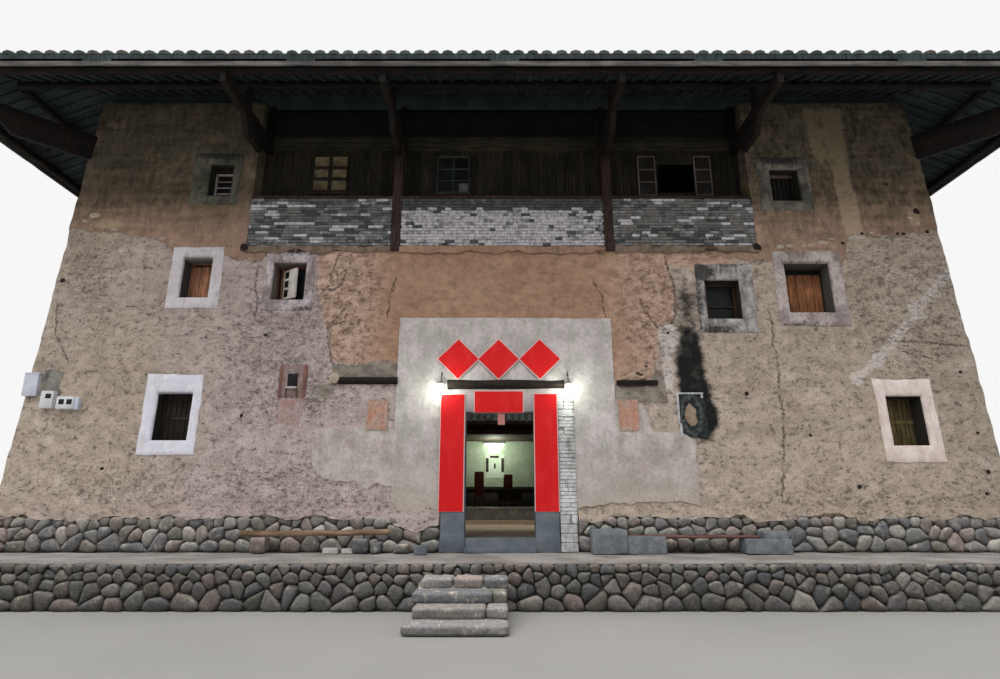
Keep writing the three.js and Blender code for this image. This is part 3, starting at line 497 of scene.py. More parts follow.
def earth_finish():
    finish = Finish("rammed_earth")
    up = finish.up()
    ragged = finish.sum(finish.cloud(0.35, detail=7, roughness=0.65), -0.5)
    jags = finish.sum(finish.cloud(0.09, (1.3, 1.3, 0.8), detail=5, roughness=0.7), -0.5)

    def part(name, edge, blur, shift=0.0):
        inside = finish.sum(finish.given(name), finish.times(ragged, edge), finish.times(jags, edge), shift)
        return finish.span(inside, -blur, blur)

    # Rough coat: patches of several earths, pocked by small crumbled hollows, with faint lift lines. The
    # hollows and lift lines are darkened as painted shade.
    broad = finish.cloud(2.4, detail=4)
    patches = finish.cloud(0.75, (1, 1, 0.7), detail=6, roughness=0.62)
    mottle = finish.cloud(0.2, (1.2, 1.2, 0.9), detail=6, roughness=0.7)
    fleck = finish.cloud(0.04, (1.1, 1.1, 0.9), detail=4, roughness=0.7)
    crumb = finish.cloud(0.085, (1.25, 1.25, 0.85), detail=6, roughness=0.75)
    dust = finish.cloud(0.018, detail=3, roughness=0.7)
    warm = finish.span(finish.sum(finish.given("warm"), broad, -0.5), 0.2, 0.8)
    rough = finish.mix(warm, (0.49, 0.395, 0.372), (0.485, 0.393, 0.318))
    rough = finish.over(rough, patches, 0.5, 0.68, finish.mix(warm, (0.418, 0.332, 0.305),
        (0.43, 0.338, 0.272)))
    rough = finish.over(rough, patches, 0.45, 0.28,
        finish.mix(warm, (0.575, 0.482, 0.448), (0.575, 0.482, 0.408)))
    rough = finish.over(rough, mottle, 0.55, 0.75, (0.485, 0.41, 0.32), 0.6)
    wavy = finish.calc("DIVIDE", finish.sum(up, finish.times(broad, 0.25), finish.times(mottle, 0.09)),
        0.42)
    line = finish.calc("ABSOLUTE", finish.sum(finish.calc("FRACT", wavy), -0.5))
    lifts = finish.times(finish.span(line, 0.055, 0.01), finish.span(patches, 0.46, 0.62))
    pitted = finish.span(finish.given("pitted"), -0.2, 0.5)
    bites = finish.span(pitted, 0, 1, 0.55, 1)
    hollow = finish.calc("MAXIMUM", finish.times(finish.span(fleck, 0.52, 0.66, 0, 0.62), bites),
        finish.times(finish.span(finish.sum(crumb, finish.times(pitted, 0.04)), 0.545, 0.64, 0, 0.85),
        finish.span(mottle, 0.4, 0.6, 0.45, 1)))
    hollow = finish.calc("MAXIMUM", hollow, finish.times(lifts, 0.35))

    # Clay coat over and beside the door: rough and pinkish on the left, smooth and orange further right.
    smooth_clay = finish.given("smooth_clay")
    clay = finish.over((0.425, 0.265, 0.178), patches, 0.35, 0.65, (0.365, 0.215, 0.142))
    rough_clay = finish.over((0.585, 0.405, 0.32), mottle, 0.38, 0.62, (0.49, 0.32, 0.24))
    clay = finish.mix(smooth_clay, rough_clay, clay)
    is_clay = part("clay", 0.25, 0.03)
    color = finish.mix(is_clay, rough, clay)

    # Smooth coat: brown, darker towards the eave with smoke, damp and painted shade of the eave, with fine
    # stains that run down.
    rise = finish.span(up, TERRACE + 6.1, TERRACE + 9.3)
    stain = finish.cloud(0.12, (1, 1, 2.2), detail=6, roughness=0.68)
    band = finish.cloud(0.16, (8, 8, 1), detail=4, roughness=0.6)
    # smoked darkens towards the eave: smoke on the coat, and painted shade of the eave.
    smoked = finish.over((0.37, 0.24, 0.175), rise, 0.0, 0.5, (0.13, 0.096, 0.062))
    smoked = finish.over(smoked, rise, 0.4, 1.0, (0.104, 0.088, 0.06))
    smoked = finish.over(smoked, patches, 0.48, 0.7, (0.23, 0.16, 0.108), 0.7)
    smoked = finish.over(smoked, patches, 0.43, 0.25, (0.078, 0.058, 0.04), 0.8)
    streaky = finish.sum(finish.times(stain, 0.5), finish.times(band, 0.3), finish.times(mottle, 0.4))
    strength = finish.times(finish.span(rise, 0.0, 0.35, 0.5, 1.0),
        finish.span(finish.given("warm"), 0.5, 1.0, 0.62, 0.88))
    streaky = finish.times(finish.span(streaky, 0.44, 0.76, -0.8, 0.85), strength)
    smoked = finish.shade(smoked, finish.sum(streaky, 1.0))
    coat = part("coat", 0.3, 0.012)
    color = finish.mix(coat, color, smoked)

    # Patches and stains on both coats, a painted shadow just under the smooth coat's lower edge, and painted
    # shade in the hollows.
    # Pale patches on the smooth coat darken towards the eave as painted shade of the eave.
    pale = finish.times(part("pale", 0.17, 0.035), finish.span(mottle, 0.35, 0.6, 0.35, 0.9))
    color = finish.mix(pale, color, finish.mix(coat, (0.74, 0.66, 0.62),
        finish.mix(rise, (0.56, 0.41, 0.28), (0.28, 0.22, 0.135))))
    cement = part("cement", 0.22, 0.012)
    color = finish.mix(cement, color, finish.over((0.27, 0.235, 0.195), mottle, 0.4, 0.6,
        (0.205, 0.17, 0.145)))
    # A thin band just under the smooth coat's lower edge, darkened as a painted shadow.
    edge_painted_shadow = finish.calc("SUBTRACT", part("coat", 0.3, 0.012, 0.022), coat)
    color = finish.vary(color, finish.times(edge_painted_shadow, mottle), 0.1, 0.5, 1, 0.6)
    # worn marks the hollows and lift lines: the colour is darkened there as painted shade, and the bump sinks
    # them.
    worn = finish.times(hollow, finish.span(coat, 0, 1, 1, 0.3))
    worn = finish.times(worn, finish.span(finish.times(is_clay, smooth_clay), 0, 1, 1, 0.35))
    worn = finish.times(worn, finish.span(cement, 0, 1, 1, 0.3))
    texture = finish.sum(finish.times(dust, 0.5), finish.times(mottle, 0.6))
    color = finish.vary(color, texture, 0.38, 0.74, 1.32, 0.68)
    color = finish.vary(color, worn, 0, 1, 1.05, 0.46)
    color = finish.shade(color, finish.given("tone"))
    sooty = finish.sum(finish.times(finish.sum(mottle, patches, -1.0), 0.22), finish.given("soot"))
    soot = finish.times(finish.span(sooty, -0.06, 0.1), finish.span(mottle, 0.25, 0.5, 0.9, 0.985))
    color = finish.mix(soot, color, (0.007, 0.009, 0.01))

    # Cracks: where a painted distance changes its sign, close to one of the courses. They are darkened as
    # painted shade in the crack.
    wander = finish.sum(finish.given("crack"), finish.times(finish.sum(fleck, mottle, -1.0), 0.2))
    width = finish.times(finish.span(finish.given("crack_near"), 0.0, 0.1),
        finish.span(mottle, 0.35, 0.62, 0.022, 0.001))
    crack = finish.calc("LESS_THAN", finish.calc("ABSOLUTE", wander), width)
    color = finish.vary(color, crack, 0, 1, 1, 0.3)
    height = finish.sum(finish.times(worn, -0.9), finish.times(texture, -0.35), finish.times(coat, 0.3),
        finish.times(crack, -1.0))
    return finish.surface(color, 0.95, height, 0.014)


EARTH = earth_finish()
FINE, COARSE = 0.075, 0.16
for node, pitch in (("front_wall_left", FINE), ("front_wall_right", FINE), ("front_wall_over_door", FINE),
                    ("side_wall_left", COARSE), ("side_wall_right", COARSE), ("back_wall", COARSE)):
    wall = loose_copy(node, node.replace("wall", "earth"))
    net_of_faces(wall, pitch)
    x, y, up = points_of(wall).T
    on_front = y - FRONT - lean(up) < 0.15
    marks, others = front_marks(x, up), other_marks(x + y, up)
    for name, values in marks.items():
        marks[name] = np.where(on_front, values, others[name])
    worn_wall(wall, marks["coat"])
    for name, values in marks.items():
        paint(wall, name, values)
    keep(wall, EARTH, "earth", node)


# Holes and chips in the front wall: putlog and nail holes in the earth, drawn as dark rounds on the face
# whose dark is painted shade, and a row of pale stones, bared where the coat has fallen from its lower edge.
def built(name, points, faces):
    mesh = bpy.data.meshes.new(name)
    mesh.from_pydata(points, [], faces)
    return placed(name, mesh)


def pocks(name, spots, material, slot, dome=0.0, seed=0):
    """Small uneven rounds on the front wall: (x, height above the terrace, reach across, reach up)."""
    points, faces, sides = [], [], 11
    for number, (x, above, reach, reach_up) in enumerate(spots):
        points.append(on_face(x, TERRACE + above, 0.004 + dome))
        for share, out in ((0.55, 0.003 + dome * 0.9), (1.0, 0.002 - 0.02 * (dome > 0))):
            for side in range(sides):
                angle = side * math.tau / sides
                across, rise = math.cos(angle), math.sin(angle)
                wide = share * (1 + 0.4 * noise.noise(Vector((across, rise, number + seed)) * 1.7))
                points.append(on_face(x + wide * reach * across, TERRACE + above + wide * reach_up * rise,
                    out))
        first = len(points) - 2 * sides
        for side in range(sides):
            after = (side + 1) % sides
            faces += [(first - 1, first + side, first + after),
                      (first + side, first + sides + side, first + sides + after, first + after)]
    return keep(built(name, points, faces), material, slot, angle=60)


def hollow_finish(name, dark, light):
    finish = Finish(name)
    crumb = finish.cloud(0.03, detail=4, roughness=0.7)
    return finish.surface(finish.over(dark, crumb, 0.4, 0.7, light), 0.95, crumb, 0.008)


# Near black, standing for the shade inside a hole: painted shade.
HOLE_SHADE = hollow_finish("wall_hole_shade", (0.018, 0.014, 0.012), (0.045, 0.034, 0.028))
pocks("wall_holes", [(x, above, reach, reach * 0.85) for x, above, reach in (
    (9.47, 1.49, 0.05), (9.35, 1.07, 0.04), (9.37, 3.5, 0.04), (9.44, 2.25, 0.035), (7.42, 6.4, 0.045),
    (7.88, 6.63, 0.04), (8.67, 6.63, 0.04), (8.8, 6.63, 0.04), (4.93, 3.05, 0.05),
    (3.43, 4.34, 0.035), (8.65, 7.86, 0.04), (9.18, 7.18, 0.08), (9.34, 6.68, 0.05), (-9.5, 5.52, 0.06),
    (-7.9, 1.55, 0.04), (6.1, 2.2, 0.035), (-5.3, 2.6, 0.04), (-5.0, 4.3, 0.04), (6.9, 1.2, 0.05))],
      HOLE_SHADE, "earth")
BARED = hollow_finish("bared_stone", (0.44, 0.34, 0.27), (0.7, 0.58, 0.49))
pocks("bared_stones", [(6.03, 6.31, 0.1, 0.06), (6.25, 6.33, 0.11, 0.055), (6.55, 6.33, 0.07, 0.05),
                       (6.7, 6.34, 0.08, 0.05), (6.98, 6.4, 0.15, 0.075), (7.2, 6.5, 0.09, 0.03),
                       (8.1, 6.64, 0.07, 0.05), (8.25, 6.6, 0.05, 0.03), (-9.1, 7.07, 0.15, 0.08),
                       (-9.3, 6.94, 0.08, 0.05), (-8.6, 6.73, 0.12, 0.05), (-7.51, 6.51, 0.09, 0.05),
                       (-7.43, 6.05, 0.09, 0.06), (9.02, 7.02, 0.08, 0.06), (9.16, 6.88, 0.06, 0.05)],
      BARED, "earth", dome=0.022, seed=40)

# Stone base: a retaining wall of river cobbles along the terrace, and rubble footings under the earth
# walls. The stones are laid dry or in mud, small on top and large below, each one round and domed.
SIDE_ROWS = ((0.3, 0.44), (0.27, 0.38), (0.25, 0.36), (0.21, 0.32), (0.18, 0.28), (0.15, 0.24))
FOOTING_ROWS = ((0.24, 0.37), (0.22, 0.31), (0.18, 0.24))
TERRACE_ROWS = ((0.25, 0.36), (0.2, 0.28), (0.15, 0.22), (0.12, 0.19))
MUD_INSET = 0.07                    # the mud core lies this far behind the stones' faces
JOINT = 0.014                       # between two stones
SWELL = 0.3                         # rise of a stone's face, as a share of its reach
NEAREST = 14                        # stones to the left and to the right that may touch one


def trimmed(outline, middle, away):
    """The part of an outline on the near side of a straight cut."""
    kept = []
    for here, there in zip(outline, outline[1:] + outline[:1]):
        side_here = (here - middle).dot(away)
        side_there = (there - middle).dot(away)
        if side_here <= 0:
            kept.append(here)
        if side_here * side_there < 0:
            kept.append(here.lerp(there, side_here / (side_here - side_there)))
    return kept


def corner_cut(outline, share):
    return [point for here, there in zip(outline, outline[1:] + outline[:1])
            for point in (here.lerp(there, share), here.lerp(there, 1 - share))]


def laid_stones(length, rows, draw):
    """Outlines of stones that fill a strip of wall, row on row, with room for a joint between them."""
    height = sum(row for row, stone in rows)
    seeds, base = [], 0.0
    for row, stone in rows:
        count = max(1, round(length / stone))
        seeds += [Vector((length * (i + 0.5 + draw.uniform(-0.36, 0.36)) / count,
            base + row * (0.5 + draw.uniform(-0.34, 0.34)))) for i in range(count)]
        base += row
    seeds.sort(key=lambda seed: seed.x)
    for number, seed in enumerate(seeds):
        outline = [Vector(p) for p in ((0, 0), (length, 0), (length, height), (0, height))]
        for other in seeds[max(0, number - NEAREST):number + NEAREST + 1]:
            if other is not seed:
                away = (other - seed).normalized()
                outline = trimmed(outline, (seed + other) / 2 - away * JOINT / 2, away)
        if len(outline) >= 3:
            yield corner_cut(outline, draw.uniform(0.17, 0.3))


def ring_faces(first, second, count):
    """Faces between two rings of points."""
    return [(first + i, first + (i + 1) % count, second + (i + 1) % count, second + i) for i in range(count)]


def stone_wall(name, length, rows, spot, seed, rings, material):
    """One mesh of domed stones. spot turns (along, up, out) into a place."""
    draw = random.Random(seed)
    points, faces, tones = [], [], []
    for outline in laid_stones(length, rows, draw):
        middle = sum(outline, Vector((0, 0))) / len(outline)
        reach = sum((p - middle).length for p in outline) / len(outline)
        dome = SWELL * reach * draw.uniform(0.6, 1.15)
        lean_along, lean_up = draw.uniform(-0.12, 0.12), draw.uniform(-0.12, 0.1)
        shift = draw.uniform(-0.025, 0.012)
        tone = draw.random()
        start, count = len(points), len(outline)
        for share, rise in rings:
            for corner in outline:
                place = middle + (corner - middle) * share
                out = dome * rise + shift + (place - middle).dot(Vector((lean_along, lean_up))) * (rise > 0)
                rough = ripple(place.x * 9, place.y * 9, seed) * 0.01 * (rise > 0)
                points.append(spot(place.x, place.y, out + rough if rise >= 0 else -MUD_INSET - 0.03))
        points.append(spot(middle.x, middle.y, dome + shift))
        for ring in range(len(rings) - 1):
            faces += ring_faces(start + ring * count, start + (ring + 1) * count, count)
        last = start + (len(rings) - 1) * count
        faces += [(last + i, last + (i + 1) % count, len(points) - 1) for i in range(count)]
        tones += [tone] * (len(rings) * count + 1)
    piece = built(name, points, faces)
    paint(piece, "tone", tones)
    return keep(marked_for_dust_and_light(piece), material, "rubble", angle=60)


def rubble_finish(name, lightness):
    finish = Finish(name)
    node = finish.add("ShaderNodeValToRGB", Fac=finish.given("tone"))
    stops = ((0.0, (0.082, 0.087, 0.092)), (0.2, (0.15, 0.14, 0.138)), (0.4, (0.11, 0.106, 0.09)),
             (0.58, (0.18, 0.145, 0.132)), (0.78, (0.12, 0.122, 0.112)), (1.0, (0.265, 0.24, 0.215)))
    while len(node.color_ramp.elements) < len(stops):
        node.color_ramp.elements.new(0.5)
    for element, (place, color) in zip(node.color_ramp.elements, stops):
        element.position = place
        element.color = (*color, 1)
    grain = finish.cloud(0.012, detail=3, roughness=0.7)
    blotch = finish.cloud(0.13, detail=4, roughness=0.6)
    color = finish.over(node.outputs["Color"], blotch, 0.52, 0.74, (0.27, 0.235, 0.2))
    knobs = finish.cloud(0.045, detail=4, roughness=0.6)
    speckle = finish.sum(finish.times(grain, 0.5), finish.times(knobs, 0.6))
    color = finish.vary(color, speckle, 0.3, 0.8, 0.6 * lightness, 1.4 * lightness)
    # Lighter on faces that look up and darker on those that look down: dust on top, and painted light and
    # shade.
    color = finish.vary(color, finish.given("dust"), -0.5, 0.9, 0.55, 1.6)
    return finish.surface(color, 0.85, finish.sum(grain, finish.times(knobs, 2.0), blotch), 0.012)


def marked_for_dust_and_light(piece):
    """Marks how far each point faces up: the finish lays dust and painted light on tops, and painted shade
    under them.
    """
    paint(piece, "dust", [vertex.normal.z for vertex in piece.data.vertices])
    return piece


def mineral(name, dark, light, size, relief=0.01, roughness=0.9):
    """An earth, mortar or plaster finish of two tones."""
    finish = Finish(name)
    blotch = finish.cloud(size, detail=5, roughness=0.6)
    grain = finish.cloud(size * 0.08, detail=4, roughness=0.7)
    color = finish.over(dark, blotch, 0.3, 0.7, light)
    color = finish.vary(color, grain, 0.3, 0.7, 0.86, 1.12)
    return finish.surface(color, roughness, finish.sum(finish.times(blotch, 0.6), grain), relief)


MUD = mineral("mud_between_stones", (0.045, 0.039, 0.033), (0.1, 0.085, 0.07), 0.2, 0.02)
EARTHY_MUD = mineral("earth_between_stones", (0.11, 0.096, 0.088), (0.22, 0.192, 0.176), 0.2, 0.02)
COBBLE = rubble_finish("river_cobble", 1.08)
FOOTING_STONE = rubble_finish("footing_rubble", 2.0)
FULL_STONE = ((1.0, -1), (1.0, 0.05), (0.86, 0.62), (0.52, 0.93))
FAR_STONE = ((1.0, -1), (0.97, 0.35), (0.66, 0.86))


def shrunken(piece, faces, inset):
    """Moves the points that lie on the given outer faces inward."""
    for vertex in piece.data.vertices:
        place = vertex.co.copy()
        for axis, level, way in faces:
            if abs(place[axis] - level) < 0.001:
                vertex.co[axis] += way * inset


PROUD = 0.02                        # how far the joints lie behind the solid's face
footing_core = loose_copy("stone_footing", "footing_core")
shrunken(footing_core, ((0, -HALF, 1), (0, HALF, -1), (1, FRONT, 1), (1, BACK, -1)), MUD_INSET)
keep(footing_core, EARTHY_MUD, "rubble", "stone_footing")
jamb_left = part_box("door_jamb_left")[0].x
jamb_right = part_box("door_jamb_right")[1].x
for name, left, right, seed in (("footing_front_left", -HALF, jamb_left - 0.01, 11),
                                ("footing_front_right", jamb_right + 0.36, HALF, 12)):
    spot = lambda a, u, o, left=left: (left + a, FRONT + PROUD - o, TERRACE + u)
    stone_wall(name, right - left, FOOTING_ROWS, spot, seed, FULL_STONE, FOOTING_STONE)
width, depth = 2 * HALF, BACK - FRONT
for name, length, spot, seed in (
        ("footing_left", depth, lambda a, u, o: (-HALF + PROUD - o, BACK - a, u), 21),
        ("footing_right", depth, lambda a, u, o: (HALF - PROUD + o, FRONT + a, u), 22),
        ("footing_back", width, lambda a, u, o: (HALF - a, BACK - PROUD + o, u), 23)):
    stone_wall(name, length, SIDE_ROWS, spot, seed, FAR_STONE, FOOTING_STONE)

# Terrace: its cobble retaining walls, the mud and rubble fill behind them, and a worn light top of
# trodden lime and earth with a ragged edge over the top row.
terrace_low, terrace_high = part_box("terrace")
terrace_core = loose_copy("terrace", "terrace_core")
shrunken(terrace_core, ((0, -HALF, 1), (0, HALF, -1), (1, terrace_low.y, 1)), MUD_INSET)
shrunken(terrace_core, ((2, TERRACE, -1),), 0.03)
keep(terrace_core, MUD, "rubble", "terrace")
TOP_LAYER = 0.03
cobble_rows = tuple((row * (TERRACE - TOP_LAYER) / 0.72, stone) for row, stone in TERRACE_ROWS)
for name, length, spot, seed in (
        ("terrace_cobbles", width, lambda a, u, o: (a - HALF, terrace_low.y + 0.01 - o, u), 31),
        ("terrace_cobbles_left", terrace_high.y - terrace_low.y,
         lambda a, u, o: (-HALF + 0.01 - o, terrace_high.y - a, u), 32),
        ("terrace_cobbles_right", terrace_high.y - terrace_low.y,
         lambda a, u, o: (HALF - 0.01 + o, terrace_low.y + a, u), 33)):
    stone_wall(name, length, cobble_rows, spot, seed, FULL_STONE, COBBLE)


def block(name, x0, x1, y0, y1, z0, z1):
    """A box by its spans, ready to be shaped."""
    deselect()
    bpy.ops.mesh.primitive_cube_add(size=1, location=((x0 + x1) / 2, (y0 + y1) / 2, (z0 + z1) / 2))
    piece = bpy.context.object
    piece.name = name
    piece.scale = (x1 - x0, y1 - y0, z1 - z0)
    bpy.ops.object.transform_apply(location=True, rotation=True, scale=True)
    return piece


def cut_net(piece, pitches):
    """Cuts a piece along X, Y and Z at those pitches."""
    places = points_of(piece)
    with editing(piece):
        for axis, (low, high) in enumerate(zip(places.min(axis=0), places.max(axis=0))):
            cut_across(axis, low, high, round((high - low) / pitches[axis]))


noise.seed_set(7)                   # so that the clumps lie the same way in every run


def roughen(piece, amount, size, floor_level=None):
    """Moves each point a little, in clumps of that size. Points below floor_level stay on it."""
    for vertex in piece.data.vertices:
        vertex.co += noise.noise_vector(vertex.co / size) * amount
        if floor_level is not None:
            vertex.co.z = max(vertex.co.z, floor_level)


def apply_modifier(piece, name, kind, **settings):
    only(piece)
    modifier = piece.modifiers.new(name, kind)
    for key, value in settings.items():
        setattr(modifier, key, value)
    bpy.ops.object.modifier_apply(modifier=name)


TRODDEN = mineral("trodden_lime", (0.28, 0.255, 0.237), (0.48, 0.45, 0.43), 0.8, 0.015)
top = block("terrace_top", -HALF, HALF, terrace_low.y - 0.015, terrace_high.y, TERRACE - TOP_LAYER, TERRACE)
cut_net(top, (0.14, 0.24, 1))
for vertex in top.data.vertices:
    place = vertex.co.copy()
    if place.y < terrace_low.y:
        vertex.co.y += 0.1 + 0.07 * noise.noise(place * 2.1) + 0.04 * noise.noise(place * 7)
    vertex.co.z = min(TERRACE, place.z - 0.008 + 0.016 * noise.noise(Vector((place.x, place.y, 0)) * 2.3))
keep(top, TRODDEN, "rubble")

# Steps: long river slabs laid dry, one or two to a tread, with paler squared blocks at the right end.
# Each rests on the back of the one below it and on a rubble fill behind them.
step_low, step_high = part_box("front_steps")
TREAD = (step_high.y - step_low.y) / 5
RISE = step_high.z / 4
SLABS = (                           # rise, left and right end, how far it stands back, and tone
    (1, -1.37, 0.03, 0.0, 0.15), (2, -1.27, -0.28, 0.0, 0.3), (2, -0.27, 0.02, 0.01, 0.2),
    (3, -1.33, -0.2, 0.0, 0.02), (3, -0.19, 0.01, 0.02, 0.38), (4, -1.25, -0.78, 0.0, 0.22),
    (4, -0.77, -0.34, 0.0, 0.62), (4, -0.33, 0.03, 0.0, 0.05))


SLAB_CELL = 0.1


def rough_slab(name, x0, x1, y0, y1, z0, z1, amount):
    """A split stone: a box cut into cells, roughened, and rounded by one subdivision."""
    piece = block(name, x0, x1, y0, y1, z0, z1)
    cut_net(piece, (max(SLAB_CELL, (x1 - x0) / 9), max(SLAB_CELL, (y1 - y0) / 5), max(0.045, (z1 - z0) / 3)))
    roughen(piece, amount, 0.16, z0)
    apply_modifier(piece, "round", "SUBSURF", levels=1, render_levels=1)
    return piece


def joined(name, pieces):
    """One mesh of several separate solids."""
    deselect()
    for piece in pieces:
        piece.select_set(True)
    bpy.context.view_layer.objects.active = pieces[0]
    bpy.ops.object.join()
    pieces[0].name = name
    return pieces[0]


def tone_of(piece, value=0.5):
    paint(piece, "tone", [value] * len(piece.data.vertices))
    return piece


slabs = []
for rise, left, right, back, tone in SLABS:
    nose = step_low.y + (rise - 1) * TREAD + back + 0.012
    bottom = 0.0 if rise == 1 else (rise - 1) * RISE - 0.02
    slab = rough_slab("slab", left, right, nose, nose + TREAD + (TREAD if rise == 1 else 0.09), bottom,
        rise * RISE, 0.022)
    slabs.append(tone_of(slab, tone))
fill = block("slab", step_low.x + 0.08, step_high.x - 0.08, step_low.y + TREAD, step_high.y, 0,
    3.6 * RISE - 0.03)
for vertex in fill.data.vertices:
    if vertex.co.z > 0.1 and vertex.co.y < step_low.y + TREAD + 0.01:
        vertex.co.y += 2.3 * TREAD
keep(marked_for_dust_and_light(joined("step_slabs", slabs + [tone_of(fill, 0.4)])), FOOTING_STONE, "rubble", "front_steps",
    angle=50)

# Ground floor: earth rammed hard between the walls, and the same trodden earth in the sunk courtyard. It
# shows only through the open door, so the solid itself carries the finish.
# The floor's colour is much paler than the earth: painted light, for the light that barely reaches in through
# the door.
EARTH_FLOOR_PAINTED_LIGHT = mineral("earth_floor", (0.74, 0.55, 0.37), (0.86, 0.67, 0.5), 0.8, 0.02)
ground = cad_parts["ground_floor"].data.materials
ground.clear()
ground.append(EARTH_FLOOR_PAINTED_LIGHT)

# Door frame: dressed blue-grey stone. Each jamb is one tall stone on a plinth block that flares at its
# foot, under a stone lintel, with a stepped threshold between them.
def dressed_finish():
    finish = Finish("dressed_stone")
    blotch = finish.cloud(0.45, detail=5, roughness=0.6)
    grain = finish.cloud(0.01, detail=3, roughness=0.7)
    chisel = finish.cloud(0.03, (0.4, 0.4, 2.4), detail=2)
    color = finish.over((0.108, 0.132, 0.16), blotch, 0.3, 0.7, (0.185, 0.208, 0.228))
    color = finish.over(color, finish.up(), TERRACE + 2.2, TERRACE + 3.1, (0.54, 0.45, 0.45))
    color = finish.vary(color, grain, 0.3, 0.7, 0.82, 1.18)
    return finish.surface(color, 0.7, finish.sum(grain, finish.times(chisel, 0.6)), 0.004)


def worn_edges(piece, width, segments=2, sharp=30):
    """Wears round the edges that are sharper than an angle in degrees."""
    apply_modifier(piece, "edge", "BEVEL", width=width, segments=segments, limit_method="ANGLE",
        angle_limit=math.radians(sharp))
    return piece


def eased(node, name, width, segments=2):
    """A copy of a solid that already has the right shape, with its sharp edges worn round."""
    piece = loose_copy(node, name)
    merge_flat(piece, 1e-5)
    return worn_edges(piece, width, segments)


DRESSED = dressed_finish()
for node in ("door_jamb_left", "door_jamb_right"):
    jamb = eased(node, node.replace("jamb", "post"), 0.012)
    low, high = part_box(node)
    middle = (low.x + high.x) / 2
    for vertex in jamb.data.vertices:
        if vertex.co.z < TERRACE + 0.1:
            vertex.co.x += 0.02 * (1 if vertex.co.x > middle else -1) * (vertex.co.y < FRONT)
    keep(jamb, DRESSED, "dressed_stone", node)
keep(eased("door_lintel", "door_head", 0.015), DRESSED, "dressed_stone", "door_lintel")
keep(eased("door_threshold", "door_step", 0.012), DRESSED, "dressed_stone", "door_threshold")

# Log over the door: one rough trunk, black with smoke, laid over the stone frame and built into the earth
# wall, so that its round front shows.
def wood(name, dark, light, along, size=0.03):
    """Weathered timber with its grain along one axis."""
    finish = Finish(name)
    stretch = tuple(14 if axis == along else 1 for axis in "XYZ")
    grain = finish.cloud(size, stretch, detail=4, roughness=0.65)
    fine = finish.cloud(size * 0.3, stretch, detail=3)
    blotch = finish.cloud(0.5, detail=4)
    color = finish.over(dark, grain, 0.32, 0.68, light)
    color = finish.vary(color, blotch, 0.3, 0.7, 0.72, 1.25)
    color = finish.vary(color, finish.given("tone"), 0, 1, 0.75, 1.3)
    return finish.surface(color, 0.8, finish.sum(grain, fine), 0.006)


def log(name, start, end, radius, sides=14, rough=0.02, taper=0.9):
    """A round trunk from start to end, a little crooked and a little thinner at its end."""
    start, end = Vector(start), Vector(end)
    way = end - start
    deselect()
    bpy.ops.mesh.primitive_cylinder_add(vertices=sides, radius=radius, depth=way.length, location=(0, 0, 0))
    piece = bpy.context.object
    piece.name = name
    with editing(piece):
        cut_across(2, -way.length / 2, way.length / 2, max(2, int(way.length / 0.25)))
    turn = way.to_track_quat("Z", "Y").to_matrix().to_4x4()
    for vertex in piece.data.vertices:
        share = vertex.co.z / way.length + 0.5
        vertex.co.xy *= 1 + (taper - 1) * share
    piece.data.transform(Matrix.Translation((start + end) / 2) @ turn)
    roughen(piece, rough, 0.5)
    roughen(piece, rough * 0.35, 0.12)
    return piece


SMOKED_ALONG_X = wood("smoked_timber_lengthwise", (0.01, 0.007, 0.006), (0.03, 0.021, 0.017), "X")
LOG_BROWN = wood("door_log", (0.012, 0.008, 0.006), (0.033, 0.022, 0.018), "X")
log_low, log_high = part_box("door_timber_lintel")
log_axis = ((log_low.y + log_high.y) / 2, (log_low.z + log_high.z) / 2)
keep(tone_of(log("door_log", (log_low.x, *log_axis), (log_high.x, *log_axis), 0.112)), LOG_BROWN,
     "old_timber", "door_timber_lintel", angle=60)

# Lime plaster: a tall panel round the door and patches beside it, trowelled thin on the earth. Its foot
# has fallen off in a ragged line.
def sheet_grid(name, columns, rows):
    """A flat square of faces, from -1 to 1, ready to be laid on the wall."""
    deselect()
    bpy.ops.mesh.primitive_grid_add(x_subdivisions=columns, y_subdivisions=rows, size=2)
    piece = bpy.context.object
    piece.name = name
    return piece


COAT_KEY = 0.03                     # how far a coat reaches into the wall behind it


def plaster_skin(name, top, foot, thick, ragged, cell=0.07, hole=None):
    """A thin coat on the front wall, between two lines of (x, height above the terrace)."""
    (left, right), top, foot = (top[0][0], top[-1][0]), above_terrace(top), above_terrace(foot)
    columns, rows = max(3, int((right - left) / cell)), max(3, int((top[0][1] - foot[0][1]) / cell))
    piece = sheet_grid(name, columns, rows)
    for vertex in piece.data.vertices:
        across, share = (vertex.co.x + 1) / 2, (vertex.co.y + 1) / 2
        x = left + (right - left) * across
        low, high = [np.interp(x, *zip(*line)) for line in (foot, top)]
        up = low + (high - low) * share
        if min(across, 1 - across, 1 - share) < 1e-4:
            x += ragged * noise.noise(Vector((x, up, 3)) * 5)
            up += ragged * noise.noise(Vector((x, up, 8)) * 5)
        if share < 1e-4:
            up += 0.1 * ripple(x * 2.1, 5, 0) + 0.05 * ripple(x * 8, 1, 0)
        vertex.co = on_face(x, up, thick + 0.005 * noise.noise(Vector((x, up, 0)) * 3))
    if hole:
        with editing(piece, "DESELECT"):
            pass
        for face in piece.data.polygons:
            face.select = hole[0] < face.center.x < hole[1] and face.center.z < hole[2]
        with editing(piece, None):
            bpy.ops.mesh.delete(type="FACE")
    faced_front(piece)
    apply_modifier(piece, "body", "SOLIDIFY", thickness=thick + COAT_KEY, offset=-1)
    return piece


def faced_front(piece):
    """Turns an open sheet so that its faces look to the front."""
    if sum(face.normal.y * face.area for face in piece.data.polygons) > 0:
        piece.data.flip_normals()


